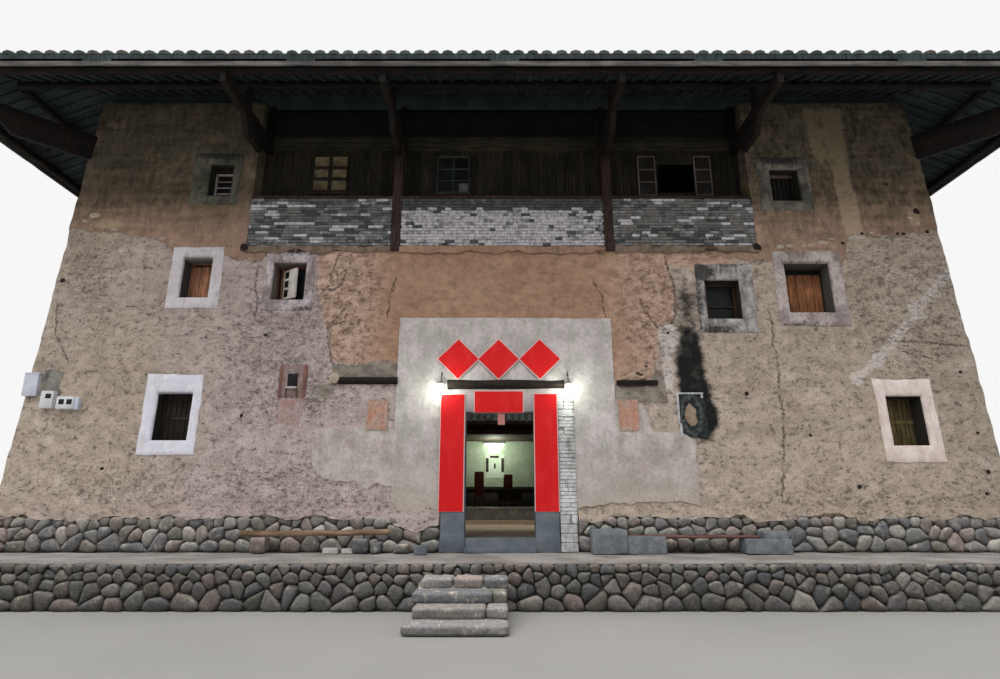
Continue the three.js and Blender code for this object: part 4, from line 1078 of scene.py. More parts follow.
def lime_finish(name, dark, light, stain, low=None, inner=None, flaws=0.5):
    """Old limewash: cloudy, with stains that run down, a dirty foot, and another tone inside a reveal: dark
    bare earth and painted shade.
    """
    finish = Finish(name)
    cloud = finish.cloud(0.45, detail=6, roughness=0.66)
    streak = finish.cloud(0.16, (1, 1, 3), detail=5, roughness=0.62)
    grain = finish.cloud(0.014, detail=3, roughness=0.7)
    color = finish.over(dark, cloud, 0.36, 0.62, light)
    color = finish.over(color, streak, 0.48, 0.72, stain, 0.8)
    if low:
        ragged = finish.sum(finish.up(), finish.times(cloud, 0.9))
        color = finish.mix(finish.span(ragged, low[0], low[1], 0.75, 0), color, low[2])
    flaw = finish.cloud(0.06, detail=5, roughness=0.7)
    color = finish.vary(color, flaw, 0.4, 0.72, 1 + 0.2 * flaws, 1 - 0.6 * flaws)
    color = finish.vary(color, grain, 0.3, 0.7, 1 - 0.16 * flaws, 1 + 0.14 * flaws)
    if inner:
        sooty = finish.sum(finish.given("sooty"), finish.times(flaw, 0.25), -0.125)
        color = finish.over(color, sooty, -0.03, 0.06, (0.035, 0.034, 0.033), 0.9)
        color = finish.over(color, finish.given("inner"), 0.2, 0.8, inner)
    return finish.surface(color, 0.9, finish.sum(finish.times(cloud, 0.7), grain), 0.006)


PANEL_LIME = lime_finish("door_plaster", (0.49, 0.44, 0.425), (0.65, 0.585, 0.58), (0.43, 0.41, 0.335),
                         (TERRACE + 1.0, TERRACE + 2.6, (0.53, 0.46, 0.39)), flaws=0.3)
panel_foot = [(-2.2, 0.92), (-1.97, 0.7), (-1.6, 0.72), (-1.2, 0.76), (1.4, 0.8), (1.84, 0.88), (2.24, 0.84)]
door_hole = (jamb_left + 0.05, jamb_right - 0.05, log_low.z - 0.12)
keep(plaster_skin("door_plaster", [(-2.2, 4.676), (2.24, 4.654)], panel_foot, 0.016, hole=door_hole,
    ragged=0.012), PANEL_LIME, "plaster")
PATCH_LIME = lime_finish("patch_plaster", (0.44, 0.385, 0.355), (0.66, 0.585, 0.55), (0.48, 0.395, 0.345),
                         (TERRACE + 1.2, TERRACE + 2.2, (0.53, 0.46, 0.4)), flaws=0.35)
for name, top, foot in (
        ("left_plaster", [(-3.8, 2.34), (-2.17, 2.36)],
         [(-3.8, 1.62), (-3.72, 1.5), (-3.54, 1.32), (-2.9, 1.32), (-2.68, 1.12), (-2.55, 1.27),
          (-2.17, 1.2)]),
        ("right_plaster", [(2.2, 2.84), (2.82, 2.82), (2.96, 2.27), (3.6, 2.24), (3.78, 2.1)],
         [(2.2, 0.84), (2.62, 0.93), (3.6, 0.93), (3.78, 0.84)])):
    keep(plaster_skin(name, top, foot, 0.012, ragged=0.035), PATCH_LIME, "plaster")

# Foot of the earth wall: earth that has slumped over the uppermost stones in a ragged line. It is the
# wall's own earth, so it takes the wall's finish and marks.
foot_up = FOOTING_TOP - TERRACE
for name, left, right in (("left", 0.06 - HALF, jamb_left - 0.02), ("right", jamb_right + 0.37, HALF - 0.06)):
    line = [(x, foot_up - 0.02 + 0.16 * ripple(x * 0.9, 4, 0) - 0.22 * max(0, 1 - abs(x + 1.7) / 0.9))
            for x in np.linspace(left, right, 60)]
    slump = plaster_skin(f"slumped_earth_{name}", [(left, foot_up + 0.16), (right, foot_up + 0.16)], line,
        0.034, cell=0.06, ragged=0.03)
    x, y, up = points_of(slump).T
    for mark, values in front_marks(x, up).items():
        paint(slump, mark, values)
    keep(slump, EARTH, "earth")

# Red papers: two long strips on the jambs, one over the door and three squares hung on their corners,
# pasted on with a pale border. They are bare.
def paper_finish(name, color, faded):
    finish = Finish(name)
    crease = finish.cloud(0.25, (1, 1, 2.5), detail=4, roughness=0.6)
    fine = finish.cloud(0.02, detail=2)
    tint = finish.over(color, crease, 0.45, 0.8, faded)
    tint = finish.vary(tint, fine, 0.3, 0.7, 0.93, 1.06)
    return finish.surface(tint, 0.6, finish.sum(crease, finish.times(fine, 0.3)), 0.004)


PAPER_THICK = 0.0012


def paper(name, corners, out, cells):
    """A pasted sheet by its four corners (x, up), counted from the lower left. out is its Y."""
    piece = sheet_grid(name, *cells)
    a, b, c, d = [Vector(corner) for corner in corners]
    for vertex in piece.data.vertices:
        u, v = (vertex.co.x + 1) / 2, (vertex.co.y + 1) / 2
        flat = a.lerp(b, u).lerp(d.lerp(c, u), v)
        wave = 0.004 * ripple(flat.x * 5, flat.y * 5, 2)
        curl = 0.01 * max(0, abs(2 * u - 1) - 0.8) * max(0, ripple(u, flat.y * 2, 7) + 0.3) / 0.2
        vertex.co = (flat.x, out(flat.y) - abs(wave) - curl, flat.y)
    faced_front(piece)
    apply_modifier(piece, "sheet", "SOLIDIFY", thickness=PAPER_THICK, offset=-1)
    return piece


RED = paper_finish("red_paper", (0.78, 0.007, 0.01), (0.84, 0.024, 0.026))
BORDER = paper_finish("paper_border", (0.8, 0.52, 0.5), (0.85, 0.66, 0.62))
BORDER_OUT, PAPER_OUT, RIM = 0.004, 0.009, 0.018
jamb_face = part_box("door_lintel")[0].y


def upright(left, right, low, high):
    return [(left, low), (right, low), (right, high), (left, high)]


for name, left, right, low, high in (
        ("left_strip", -1.285, -0.785, TERRACE + 0.735, TERRACE + 3.02),
        ("right_strip", 0.578, 1.06, TERRACE + 0.735, TERRACE + 3.03),
        ("head_strip", -0.615, 0.385, TERRACE + 2.64, TERRACE + 3.085)):
    keep(paper(name + "_border", upright(left, right, low, high), lambda up: jamb_face - BORDER_OUT,
        (4, 20)), BORDER, "red_paper")
    keep(paper(name, upright(left + RIM, right - RIM, low + 0.004, high - RIM),
        lambda up: jamb_face - PAPER_OUT, (4, 24)), RED, "red_paper")
SQUARE = 0.45                       # half the diagonal
SQUARE_RIM = 0.035
up = TERRACE + 3.765
for number, x in enumerate((-0.95, -0.12, 0.73)):
    for kind, half, out in (("border", SQUARE, 0.05), ("square", SQUARE - SQUARE_RIM, 0.058)):
        diamond = [(x, up - half), (x + half, up), (x, up + half), (x - half, up)]
        keep(paper(f"hung_{kind}_{number}", diamond, lambda u, out=out: wall_front(u, out), (8, 8)),
            BORDER if kind == "border" else RED, "red_paper")
tag_front = jamb_face + 0.02
keep(paper("door_tag", upright(-0.135, 0.005, TERRACE + 2.4, TERRACE + 2.665), lambda up: tag_front,
    (3, 6)), paper_finish("tag_paper", (0.55, 0.22, 0.2), (0.62, 0.3, 0.26)), "red_paper")

# Brick pier beside the right jamb: thin whitewashed bricks on a few larger blocks, between the dressed
# stone and the plaster.
def shape_of(piece):
    """Takes a modelled piece as the pattern for many copies."""
    mesh = piece.data
    points = points_of(piece)
    corners = np.array([loop.vertex_index for loop in mesh.loops])
    starts = np.array([face.loop_start for face in mesh.polygons])
    bpy.data.objects.remove(piece)
    return points, corners, starts


def lay(name, shape, places, **painted):
    """Lays copies of one shape, each by its own matrix, as one mesh. painted holds a number for each copy."""
    points, corners, starts = shape
    matrices = np.array([[list(row) for row in place] for place in places])
    count = len(matrices)
    moved = np.einsum("kij,nj->kni", matrices[:, :3, :3], points) + matrices[:, None, :3, 3]
    mesh = bpy.data.meshes.new(name)
    mesh.vertices.add(count * len(points))
    mesh.vertices.foreach_set("co", moved.ravel())
    mesh.loops.add(count * len(corners))
    mesh.loops.foreach_set("vertex_index", (corners + np.arange(count)[:, None] * len(points)).ravel())
    mesh.polygons.add(count * len(starts))
    mesh.polygons.foreach_set("loop_start", (starts + np.arange(count)[:, None] * len(corners)).ravel())
    mesh.update(calc_edges=True)
    piece = placed(name, mesh)
    for key, values in painted.items():
        paint(piece, key, np.repeat(values, len(points)))
    return piece


def lay_toned(name, shape, places, draw):
    """Lays copies of a shape, each with a tone of its own."""
    return lay(name, shape, places, tone=[draw.random() for place in places])


def spans(x0, x1, y0, y1, z0, z1, turn=0.0):
    """The matrix that lays a unit cube into a box, turned a little about its upright axis."""
    middle = Matrix.Translation(((x0 + x1) / 2, (y0 + y1) / 2, (z0 + z1) / 2))
    return middle @ Matrix.Rotation(turn, 4, "Z") @ Matrix.Diagonal((x1 - x0, y1 - y0, z1 - z0, 1))


def worn_cube():
    """A unit cube with rounded edges: a brick, a board or a bar once it is stretched."""
    cube = block("cube", -0.5, 0.5, -0.5, 0.5, -0.5, 0.5)
    with editing(cube):
        bpy.ops.mesh.bevel(offset=0.07, segments=1)
    return shape_of(cube)


BRICK_SHAPE = worn_cube()
WHITEWASHED = lime_finish("whitewashed_brick", (0.46, 0.47, 0.46), (0.8, 0.79, 0.79), (0.24, 0.25, 0.245))
draw = random.Random(41)
pier_left, pier_right = jamb_right + 0.015, jamb_right + 0.35
PIER_TOP, BLOCKS_TOP = TERRACE + 3.03, TERRACE + 0.66
HOLE_UP = TERRACE + 2.28            # one brick is missing
places, level = [], TERRACE
while level < PIER_TOP:
    course = 0.17 if level < BLOCKS_TOP else draw.uniform(0.066, 0.082)
    gap = pier_left + (pier_right - pier_left) * draw.choice((0.35, 0.62, 1.0, 1.0))
    for left, right in ((pier_left, gap), (gap, pier_right)):
        hollow = abs(level - HOLE_UP) < 0.07 and left == pier_left
        if right - left > 0.03 and not hollow:
            face = wall_front(level, 0.045) + draw.uniform(-0.014, 0.01)
            places.append(spans(left + 0.004, right - draw.uniform(0.003, 0.012), face, face + 0.16,
                level + 0.004, level + course - 0.005, draw.uniform(-0.02, 0.02)))
    level += course
keep(lay_toned("pier_bricks", BRICK_SHAPE, places, draw), WHITEWASHED, "brick")
keep(block("pier_core", pier_left, pier_right - 0.01, FRONT + 0.12, FRONT + 0.3, TERRACE, PIER_TOP + 0.03),
    lime_finish("pier_mortar", (0.24, 0.24, 0.23), (0.46, 0.46, 0.45), (0.14, 0.14, 0.13)), "brick")

# Door lamps: a small glass globe under an enamelled cap, on a bent rod from the plaster, one at each end
# of the log. Both are lit.
def glow_finish(name, color, strength):
    finish = Finish(name)
    tint = finish.vary(color, finish.cloud(0.02), 0.3, 0.7, 0.97, 1)
    return finish.surface(tint, 0.3, Emission_Color=(*color, 1), Emission_Strength=strength)


def glass_globe(name, x, y, up, radius, segments, rings, glass):
    deselect()
    bpy.ops.mesh.primitive_uv_sphere_add(segments=segments, ring_count=rings, radius=radius,
        location=(x, y, up))
    keep(bpy.context.object, glass, "lamp_glass").name = name


def point_lamp(name, x, y, up, energy, radius, color):
    bulb = bpy.data.lights.new(name, "POINT")
    bulb.energy = energy
    bulb.shadow_soft_size = radius
    bulb.color = color
    placed(name, bulb).location = (x, y, up)


LAMP_GLASS = glow_finish("lamp_glass", (0.93, 1.0, 0.94), 9.0)
LAMP_METAL = mineral("lamp_metal", (0.03, 0.032, 0.03), (0.08, 0.08, 0.075), 0.05, 0.001, 0.5)
up = TERRACE + 3.18
hang, wall_up = wall_front(up, 0.17), up + 0.3
for side, x in (("left", -1.275), ("right", 1.285)):
    glass_globe(f"lamp_globe_{side}", x, hang, up, 0.052, 20, 12, LAMP_GLASS)
    bpy.ops.mesh.primitive_cone_add(vertices=20, radius1=0.075, radius2=0.022, depth=0.05,
        location=(x, hang, up + 0.065))
    cap = bpy.context.object
    with editing(cap):
        bpy.ops.mesh.bevel(offset=0.004, segments=2)
    rod = [(x, wall_front(wall_up, 0.0), wall_up - 0.08), (x, wall_front(wall_up, 0.06), wall_up),
           (x, hang + 0.01, wall_up - 0.05), (x, hang, up + 0.09)]
    bars = [cap] + [log("rod", a, b, 0.009, 8, 0.0, 1.0) for a, b in zip(rod, rod[1:])]
    keep(joined(f"lamp_holder_{side}", bars), LAMP_METAL, "lamp_metal")
    point_lamp(f"lamp_{side}", x, hang - 0.1, up - 0.02, energy=15, radius=0.06, color=(0.9, 1.0, 0.86))

# Gallery: a timber frame let into the earth wall of the top storey. Bottom beam, two posts and a sill
# carry panels of grey brick, some of them limewashed, laid in thin courses.
SMOKED_UPRIGHT = wood("smoked_timber_upright", (0.022, 0.013, 0.011), (0.085, 0.048, 0.04), "Z")
gallery = tone_of(eased("gallery_frame", "gallery_timbers", 0.02))
cut_net(gallery, (0.6, 9, 0.6))
roughen(gallery, 0.012, 0.5)
gallery.data.attributes["tone"].data.foreach_set("value",
    [0.35 if v.co.x < 1 else -0.9 for v in gallery.data.vertices])
keep(gallery, SMOKED_UPRIGHT, "old_timber", "gallery_frame")


def brick_finish():
    finish = Finish("grey_brick")
    tone, white = finish.given("tone"), finish.given("white")
    blotch = finish.cloud(0.09, detail=4, roughness=0.6)
    grain = finish.cloud(0.008, detail=3, roughness=0.7)
    color = finish.over((0.08, 0.085, 0.086), tone, 0.0, 1.0, (0.25, 0.255, 0.25))
    color = finish.over(color, finish.sum(tone, blotch), 1.18, 1.4, (0.17, 0.14, 0.12), 0.6)
    washed = finish.sum(white, finish.times(blotch, 0.6), -0.3)
    color = finish.over(color, washed, 0.2, 0.75, (0.66, 0.62, 0.64), 0.92)
    color = finish.vary(color, blotch, 0.3, 0.7, 0.72, 1.25)
    return finish.surface(color, 0.85, finish.sum(grain, blotch), 0.004)


BRICK = brick_finish()
COURSE = 0.0708
draw = random.Random(51)
for part in ("left", "middle", "right"):
    node = f"parapet_{part}"
    low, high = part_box(node)
    core = loose_copy(node, f"panel_core_{part}")
    shrunken(core, ((1, low.y, 1),), 0.02)
    keep(core, MUD, "brick", node)
    places, tones, whites = [], [], []
    courses = round((high.z - low.z) / COURSE)
    for row in range(courses):
        bottom = low.z + row * (high.z - low.z) / courses
        x = low.x + (0.002 if row % 2 else -0.125)
        while x < high.x - 0.02:
            length = draw.uniform(0.1, 0.21) if part == "middle" else draw.uniform(0.16, 0.34)
            left, right = max(x, low.x + 0.002), min(x + length, high.x - 0.002)
            if right - left > 0.04:
                out = low.y - draw.uniform(-0.004, 0.012)
                places.append(spans(left + 0.003, right - 0.003, out, out + 0.11, bottom + 0.003,
                    bottom + COURSE - draw.uniform(0.003, 0.007), draw.uniform(-0.012, 0.012)))
                tones.append(draw.random() * {"left": 0.9, "middle": 0.35, "right": 1.25}[part])
                drift = ripple(left * 0.8, bottom * 2.5, 5)
                # The top courses of the middle panel stay unwashed and dark, partly as painted shade of the
                # eave.
                if part == "middle" and row < courses - 4 + draw.choice((0, 0, 1)):
                    bare = draw.choice((0,) * 11 + (-0.5,))
                    whites.append(min(1, 0.8 + 0.25 * drift + bare + draw.uniform(-0.3, 0.2)))
                else:
                    spot = draw.choice((0, 0, 0, 0.15, 0.1, 0.35, 0.8)) * (part != "middle")
                    whites.append(spot + 0.4 * max(0, drift))
            x += length
    keep(lay(f"panel_bricks_{part}", BRICK_SHAPE, places, tone=tones, white=whites), BRICK, "brick")

# Foot of the gallery: earth mortar smeared over the beam's face. The round ends of the beam and the feet
# of the two posts are left bare.
MORTAR = lime_finish("beam_mortar", (0.175, 0.125, 0.092), (0.3, 0.215, 0.16), (0.085, 0.062, 0.048))
for side, left, right in (("left", -5.76, -2.42), ("right", 2.42, 5.55)):
    keep(plaster_skin(f"beam_mortar_{side}", [(left, 6.315), (right, 6.315)], [(left, 6.19), (right, 6.19)],
        0.04, ragged=0.05), MORTAR, "plaster")
BEAM_CLAY = lime_finish("beam_clay", (0.345, 0.212, 0.145), (0.43, 0.275, 0.19), (0.2, 0.13, 0.09))
keep(plaster_skin("beam_clay", [(-2.29, 6.315), (2.21, 6.31)], [(-2.29, 6.17), (2.21, 6.17)], 0.04,
    ragged=0.03), BEAM_CLAY, "plaster")
beam_up = TERRACE + 6.285
ends = [log("beam_end", (x, wall_front(beam_up, 0.085), beam_up), (x, wall_front(beam_up, -0.2), beam_up),
    0.075, 12, 0.012) for x in (-5.66, 5.5)]
keep(tone_of(joined("beam_ends", ends), 0.1), SMOKED_ALONG_X, "old_timber", angle=50)
feet = [spans(x - 0.105, x + 0.105, wall_front(beam_up, 0.075), wall_front(beam_up, -0.1), TERRACE + 6.21,
    TERRACE + 6.42) for x in (-2.39, 2.31)]
keep(lay("post_feet", BRICK_SHAPE, feet, tone=[0.6, 0.4]), SMOKED_UPRIGHT, "old_timber")

# Plank wall of the gallery: upright boards nailed on a frame, black with smoke, with four windows in it.
# One is papered, one is dark, one is shut by a plank, and one stands open with its sashes swung out.
plank_low, plank_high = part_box("gallery_plank_wall")
plank_front = plank_low.y + 0.035
SMOKED_PLANKS = wood("smoked_planks", (0.01, 0.009, 0.006), (0.038, 0.03, 0.02), "Z")
keep(tone_of(eased("gallery_plank_wall", "plank_wall", 0.003, 1), 0.2), SMOKED_PLANKS, "old_timber",
     "gallery_plank_wall")
PLANK_FOOT = 7.12
PLANK_WINDOWS = {                   # left, right, bottom and top
    "papered": (-4.51, -3.65, 8.62, 9.58), "dark": (-1.58, -0.79, 8.57, 9.55),
    "shut": (0.62, 1.42, 8.54, 9.55), "open": (3.14, 4.87, 8.51, 9.54)}
places = []
draw = random.Random(52)
x = plank_low.x + 0.01
while x < plank_high.x - 0.1:
    width = draw.uniform(0.15, 0.23)
    right = min(x + width, plank_high.x - 0.005)
    pieces = [(PLANK_FOOT, plank_high.z - 0.01)]
    for left_edge, right_edge, bottom, top in PLANK_WINDOWS.values():
        if x < right_edge and right > left_edge:
            pieces = [(PLANK_FOOT, bottom), (top, plank_high.z - 0.01)]
    for bottom, top in pieces:
        out = draw.uniform(0.012, 0.022)
        places.append(spans(x + 0.004, right - 0.004, plank_front - out, plank_front + 0.01, bottom, top))
    x = right
keep(lay_toned("gallery_planks", BRICK_SHAPE, places, draw), SMOKED_PLANKS, "old_timber")
SOOTY_BOARDS = wood("sooty_boards", (0.003, 0.004, 0.004), (0.01, 0.011, 0.01), "X")
HEAD_BOARDS = wood("head_boards", (0.016, 0.014, 0.008), (0.05, 0.042, 0.026), "X")
BOARD_RUNS = (plank_low.x + 0.02, -2.52), (-2.27, 2.19), (2.43, plank_high.x - 0.02)
for name, low_edge, count, high_edge, finish_of in (("head", 9.69, 3, 10.06, HEAD_BOARDS),
                                                    ("top", 10.06, 4, 10.76, SOOTY_BOARDS)):
    step = (high_edge - low_edge) / count
    places = [spans(left, right, plank_front - 0.028 - 0.006 * (row % 2), plank_front,
                    low_edge + row * step + 0.004, low_edge + (row + 1) * step)
              for row in range(count) for left, right in BOARD_RUNS]
    keep(lay_toned(f"gallery_{name}_boards", BRICK_SHAPE, places, draw), finish_of, "old_timber")


def lattice(x0, x1, z0, z1, front, back, columns, rows, rim, bar):
    """Boxes of a window sash: a rim with bars that part it into columns and rows."""
    places = [spans(x0, x1, front, back, z0, z0 + rim), spans(x0, x1, front, back, z1 - rim, z1),
        spans(x0, x0 + rim, front, back, z0 + rim, z1 - rim),
        spans(x1 - rim, x1, front, back, z0 + rim, z1 - rim)]
    inset = (back - front) * 0.2
    for column in range(1, columns):
        x = x0 + rim + (x1 - x0 - 2 * rim) * column / columns
        places.append(spans(x - bar / 2, x + bar / 2, front + inset, back - inset, z0 + rim, z1 - rim))
    for row in range(1, rows):
        z = z0 + rim + (z1 - z0 - 2 * rim) * row / rows
        places.append(spans(x0 + rim, x1 - rim, front + inset * 1.3, back - inset * 1.3, z - bar / 2,
            z + bar / 2))
    return places


def laid(name, boxes, material, slot, seed=0, *nodes):
    """Lays worn boxes, each given by its six spans or by its matrix, and finishes them."""
    places = [spans(*box) if isinstance(box, tuple) else box for box in boxes]
    return keep(lay_toned(name, BRICK_SHAPE, places, random.Random(seed)), material, slot, *nodes)


PALE_PAINT = wood("pale_painted_timber", (0.34, 0.26, 0.23), (0.56, 0.48, 0.45), "Z")
DULL_PAINT = wood("dull_painted_timber", (0.13, 0.1, 0.085), (0.27, 0.205, 0.18), "Z")
GREY_BARS = wood("grey_sash_bars", (0.025, 0.035, 0.03), (0.06, 0.075, 0.065), "X")
BROWN_TIMBER = wood("brown_timber", (0.085, 0.035, 0.02), (0.2, 0.085, 0.048), "Z")
OLD_PAPER = mineral("window_paper", (0.11, 0.075, 0.04), (0.27, 0.215, 0.125), 0.2, 0.002, 0.7)
# Near-black panes and sheets that stand for the dark behind openings: painted shade.
PAINTED_SHADE_PANE = mineral("painted_shade_pane", (0.008, 0.009, 0.009), (0.018, 0.02, 0.02), 0.3, 0.001, 0.3)
BROWN_PANE = mineral("brown_pane", (0.012, 0.01, 0.008), (0.03, 0.024, 0.018), 0.3, 0.001, 0.4)
# The dark window's pane is a near-black sheet: painted shade of the room behind.
for name, rim, bar, pane_of, bars_of in (("papered", 0.045, 0.085, OLD_PAPER, SMOKED_PLANKS),
                                         ("dark", 0.045, 0.028, PAINTED_SHADE_PANE, GREY_BARS)):
    left, right, bottom, top = PLANK_WINDOWS[name]
    laid(f"sash_{name}", lattice(left, right, bottom, top, plank_front - 0.045, plank_front + 0.02, 2, 3,
        rim, bar), bars_of, "brown_timber")
    laid(f"sill_{name}", [(left - 0.06, right + 0.06, plank_front - 0.06, plank_front, bottom - 0.07,
        bottom - 0.01)], SMOKED_UPRIGHT, "old_timber", 7)
    keep(block(f"pane_{name}", left + 0.03, right - 0.03, plank_front - 0.012, plank_front + 0.01,
        bottom + 0.03, top - 0.03), pane_of, "brown_timber")
keep(block("pane_pale", -1.05, -0.84, plank_front - 0.02, plank_front - 0.008, 8.6, 8.84),
    mineral("pale_pane", (0.1, 0.095, 0.09), (0.2, 0.19, 0.18), 0.1, 0.001, 0.4), "brown_timber")
left, right, bottom, top = PLANK_WINDOWS["shut"]
laid("shut_plank", [(left + i * 0.2, left + i * 0.2 + 0.192, plank_front - 0.03, plank_front + 0.01, bottom,
    top) for i in range(4)], SMOKED_PLANKS, "old_timber", 3)
left, right, bottom, top = PLANK_WINDOWS["open"]
for name, x0, x1 in (("left", left, 3.565), ("right", 4.465, right)):
    laid(f"sash_open_{name}", lattice(x0, x1, bottom, top, plank_low.y - 0.022, plank_low.y + 0.01, 1, 3,
        0.03, 0.026), DULL_PAINT, "brown_timber", 4)
    keep(block(f"pane_open_{name}", x0 + 0.02, x1 - 0.02, plank_low.y - 0.01, plank_low.y + 0.004,
        bottom + 0.02, top - 0.02), BROWN_PANE, "brown_timber")
laid("open_window_head", [(3.56, 4.47, plank_front - 0.035, plank_front + 0.01, 9.33, 9.7)], SMOKED_PLANKS,
    "old_timber", 5)

# Window surrounds: lime plaster trowelled round each opening and a little way into its reveal, with uneven
# edges. Deeper in, the reveal is bare earth, painted dark for its own colour and as painted shade.
LIME_THICK, LIME_RAGGED, LIME_CELL = 0.022, 0.02, 0.055


def surround(name, outer, opening, deep, stains, seed, top_white):
    """A ring of plaster that turns over the rim and lines the reveal. outer and opening are (left, right,
    bottom, top), and stains are (x, height above the terrace, reach across, reach up)."""
    left, right, bottom, top = outer
    count = [max(2, round((right - left) / LIME_CELL)), max(2, round((top - bottom) / LIME_CELL))]
    share = [i / count[0] for i in range(count[0])], [i / count[1] for i in range(count[1])]

    def loop(box):
        left, right, bottom, top = box
        return ([(left + (right - left) * s, bottom) for s in share[0]]
                + [(right, bottom + (top - bottom) * s) for s in share[1]]
                + [(right - (right - left) * s, top) for s in share[0]]
                + [(left, top - (top - bottom) * s) for s in share[1]])

    def grown(box, by):
        return box[0] - by, box[1] + by, box[2] - by, box[3] + by

    # Each step of the ring: its box, how far it stands out, and how much its edge wanders.
    steps = [(grown(outer, 0.012), -0.06, 1), (grown(outer, 0.004), LIME_THICK * 0.5, 1),
             (grown(outer, -0.012), LIME_THICK, 1)]
    for share_in in (0.35, 0.7):
        steps.append((tuple(o + (i - o) * share_in for o, i in zip(outer, opening)), LIME_THICK, 0.4))
    steps += [(grown(opening, 0.02), LIME_THICK, 0.3), (grown(opening, -0.004), LIME_THICK * 0.3, 0.2)]
    steps += [(grown(opening, -0.014), -depth, 0.1) for depth in (0.02, 0.05, 0.12, deep * 0.6, deep + 0.01)]
    points, faces, inner = [], [], []
    for box, out, wander in steps:
        for x, up in loop(box):
            drift = noise.noise_vector(Vector((x * 4, up * 4, seed)))
            drift += noise.noise_vector(Vector((x, up, seed))) * 0.8
            under_top = top_white and up > box[3] - 0.01 and out > -0.13
            x, up = x + drift.x * LIME_RAGGED * wander, up + drift.z * LIME_RAGGED * wander
            points.append(on_face(x, up, out) if out > -0.04 else (x, wall_front(up, out), up))
            # inner marks the reveal deeper in, which the finish paints dark: bare earth, and painted shade.
            inner.append(1.0 if out < -0.04 and not under_top and wander == 0.1 else 0.0)
    total = 2 * (count[0] + count[1])
    for step in range(len(steps) - 1):
        faces += ring_faces(step * total, (step + 1) * total, total)
    piece = built(name, points, faces)
    paint(piece, "inner", inner)
    x, up = np.array([point[0] for point in points]), np.array([point[2] for point in points]) - TERRACE
    marks = [np.full(len(x), -1.0)] + [inside_round(x, up, *stain) for stain in stains]
    paint(piece, "sooty", np.max(marks, axis=0))
    faced_front(piece)
    return piece


# Node, depth, dark, light and stain of the lime, tone inside it (bare earth and painted shade), and its black
# stains.
LIMED = (
    ("window_ground_left", 0.33, (0.82, 0.8, 0.9), (0.92, 0.91, 0.99), (0.74, 0.69, 0.7),
     (0.03, 0.028, 0.022), ()),
    ("window_ground_right", 0.33, (0.8, 0.66, 0.6), (0.95, 0.83, 0.77), (0.66, 0.53, 0.47),
     (0.04, 0.036, 0.028), ()),
    ("window_second_left_outer", 0.36, (0.66, 0.6, 0.62), (0.78, 0.72, 0.75), (0.48, 0.41, 0.39),
     (0.075, 0.075, 0.07), ()),
    ("window_second_left_inner", 0.3, (0.31, 0.25, 0.26), (0.62, 0.54, 0.565), (0.24, 0.18, 0.165),
     (0.2, 0.175, 0.155), ((-4.5, 6.2, 0.5, 0.07), (-4.2, 4.87, 0.3, 0.06))),
    ("window_second_right_inner", 0.3, (0.26, 0.235, 0.23), (0.56, 0.515, 0.5), (0.1, 0.09, 0.085),
     (0.045, 0.036, 0.03),
     ((4.25, 5.72, 0.3, 0.22), (4.45, 4.4, 0.4, 0.11), (4.15, 5.1, 0.07, 0.4), (4.9, 5.86, 0.3, 0.05))),
    ("window_second_right_outer", 0.36, (0.33, 0.27, 0.26), (0.58, 0.495, 0.475), (0.2, 0.15, 0.125),
     (0.13, 0.12, 0.11), ((6.3, 4.53, 0.5, 0.05),)),
    ("window_third_left", 0.3, (0.08, 0.078, 0.058), (0.17, 0.162, 0.125), (0.05, 0.042, 0.03),
     (0.03, 0.028, 0.024), ((-6.5, 8.6, 0.7, 0.12),)),
    ("window_third_right", 0.3, (0.115, 0.106, 0.086), (0.25, 0.228, 0.19), (0.05, 0.04, 0.03),
     (0.035, 0.032, 0.026), ((6.3, 8.5, 0.6, 0.16),)))
for number, (node, deep, dark, light, stain, inside, blackened) in enumerate(LIMED):
    (x, z, width, height), around = OPENINGS[node]
    hole = (x - width / 2, x + width / 2, z - height / 2, z + height / 2)
    outer = (around[0], around[1], TERRACE + around[2], TERRACE + around[3])
    lime = lime_finish(node.replace("window", "lime"), dark, light, stain, inner=inside,
        flaws=0.15 if light[1] > 0.7 else 0.6)
    keep(surround(node.replace("window", "surround"), outer, hole, deep, blackened, number,
        node == "window_ground_left"), lime, "plaster", angle=40)

# Window timber: thin frames set deep in the wall, closed by boards, by a sash with small panes, or by bars.
# Behind each, a near-black sheet stands for the dark of the room: painted shade.
REDDISH = wood("reddish_boards", (0.33, 0.14, 0.08), (0.68, 0.32, 0.185), "Z")
ORANGE = wood("orange_boards", (0.13, 0.05, 0.022), (0.34, 0.14, 0.062), "Z")
BATTEN = wood("orange_battens", (0.24, 0.125, 0.065), (0.4, 0.22, 0.12), "Z")
OLIVE = wood("olive_slats", (0.055, 0.043, 0.018), (0.17, 0.125, 0.05), "Z")
SMOKED_FRAME = wood("smoked_frame", (0.028, 0.016, 0.01), (0.075, 0.042, 0.027), "Z")
DEEP_BROWN = wood("deep_brown_boards", (0.018, 0.013, 0.01), (0.06, 0.042, 0.031), "Z")


BOARD_GAP, BOARD_THICK = 0.012, 0.026


def boards(left, right, bottom, top, front, count):
    width = (right - left) / count
    return [(left + i * width + BOARD_GAP / 2, left + (i + 1) * width - BOARD_GAP / 2, front,
        front + BOARD_THICK, bottom, top) for i in range(count)]


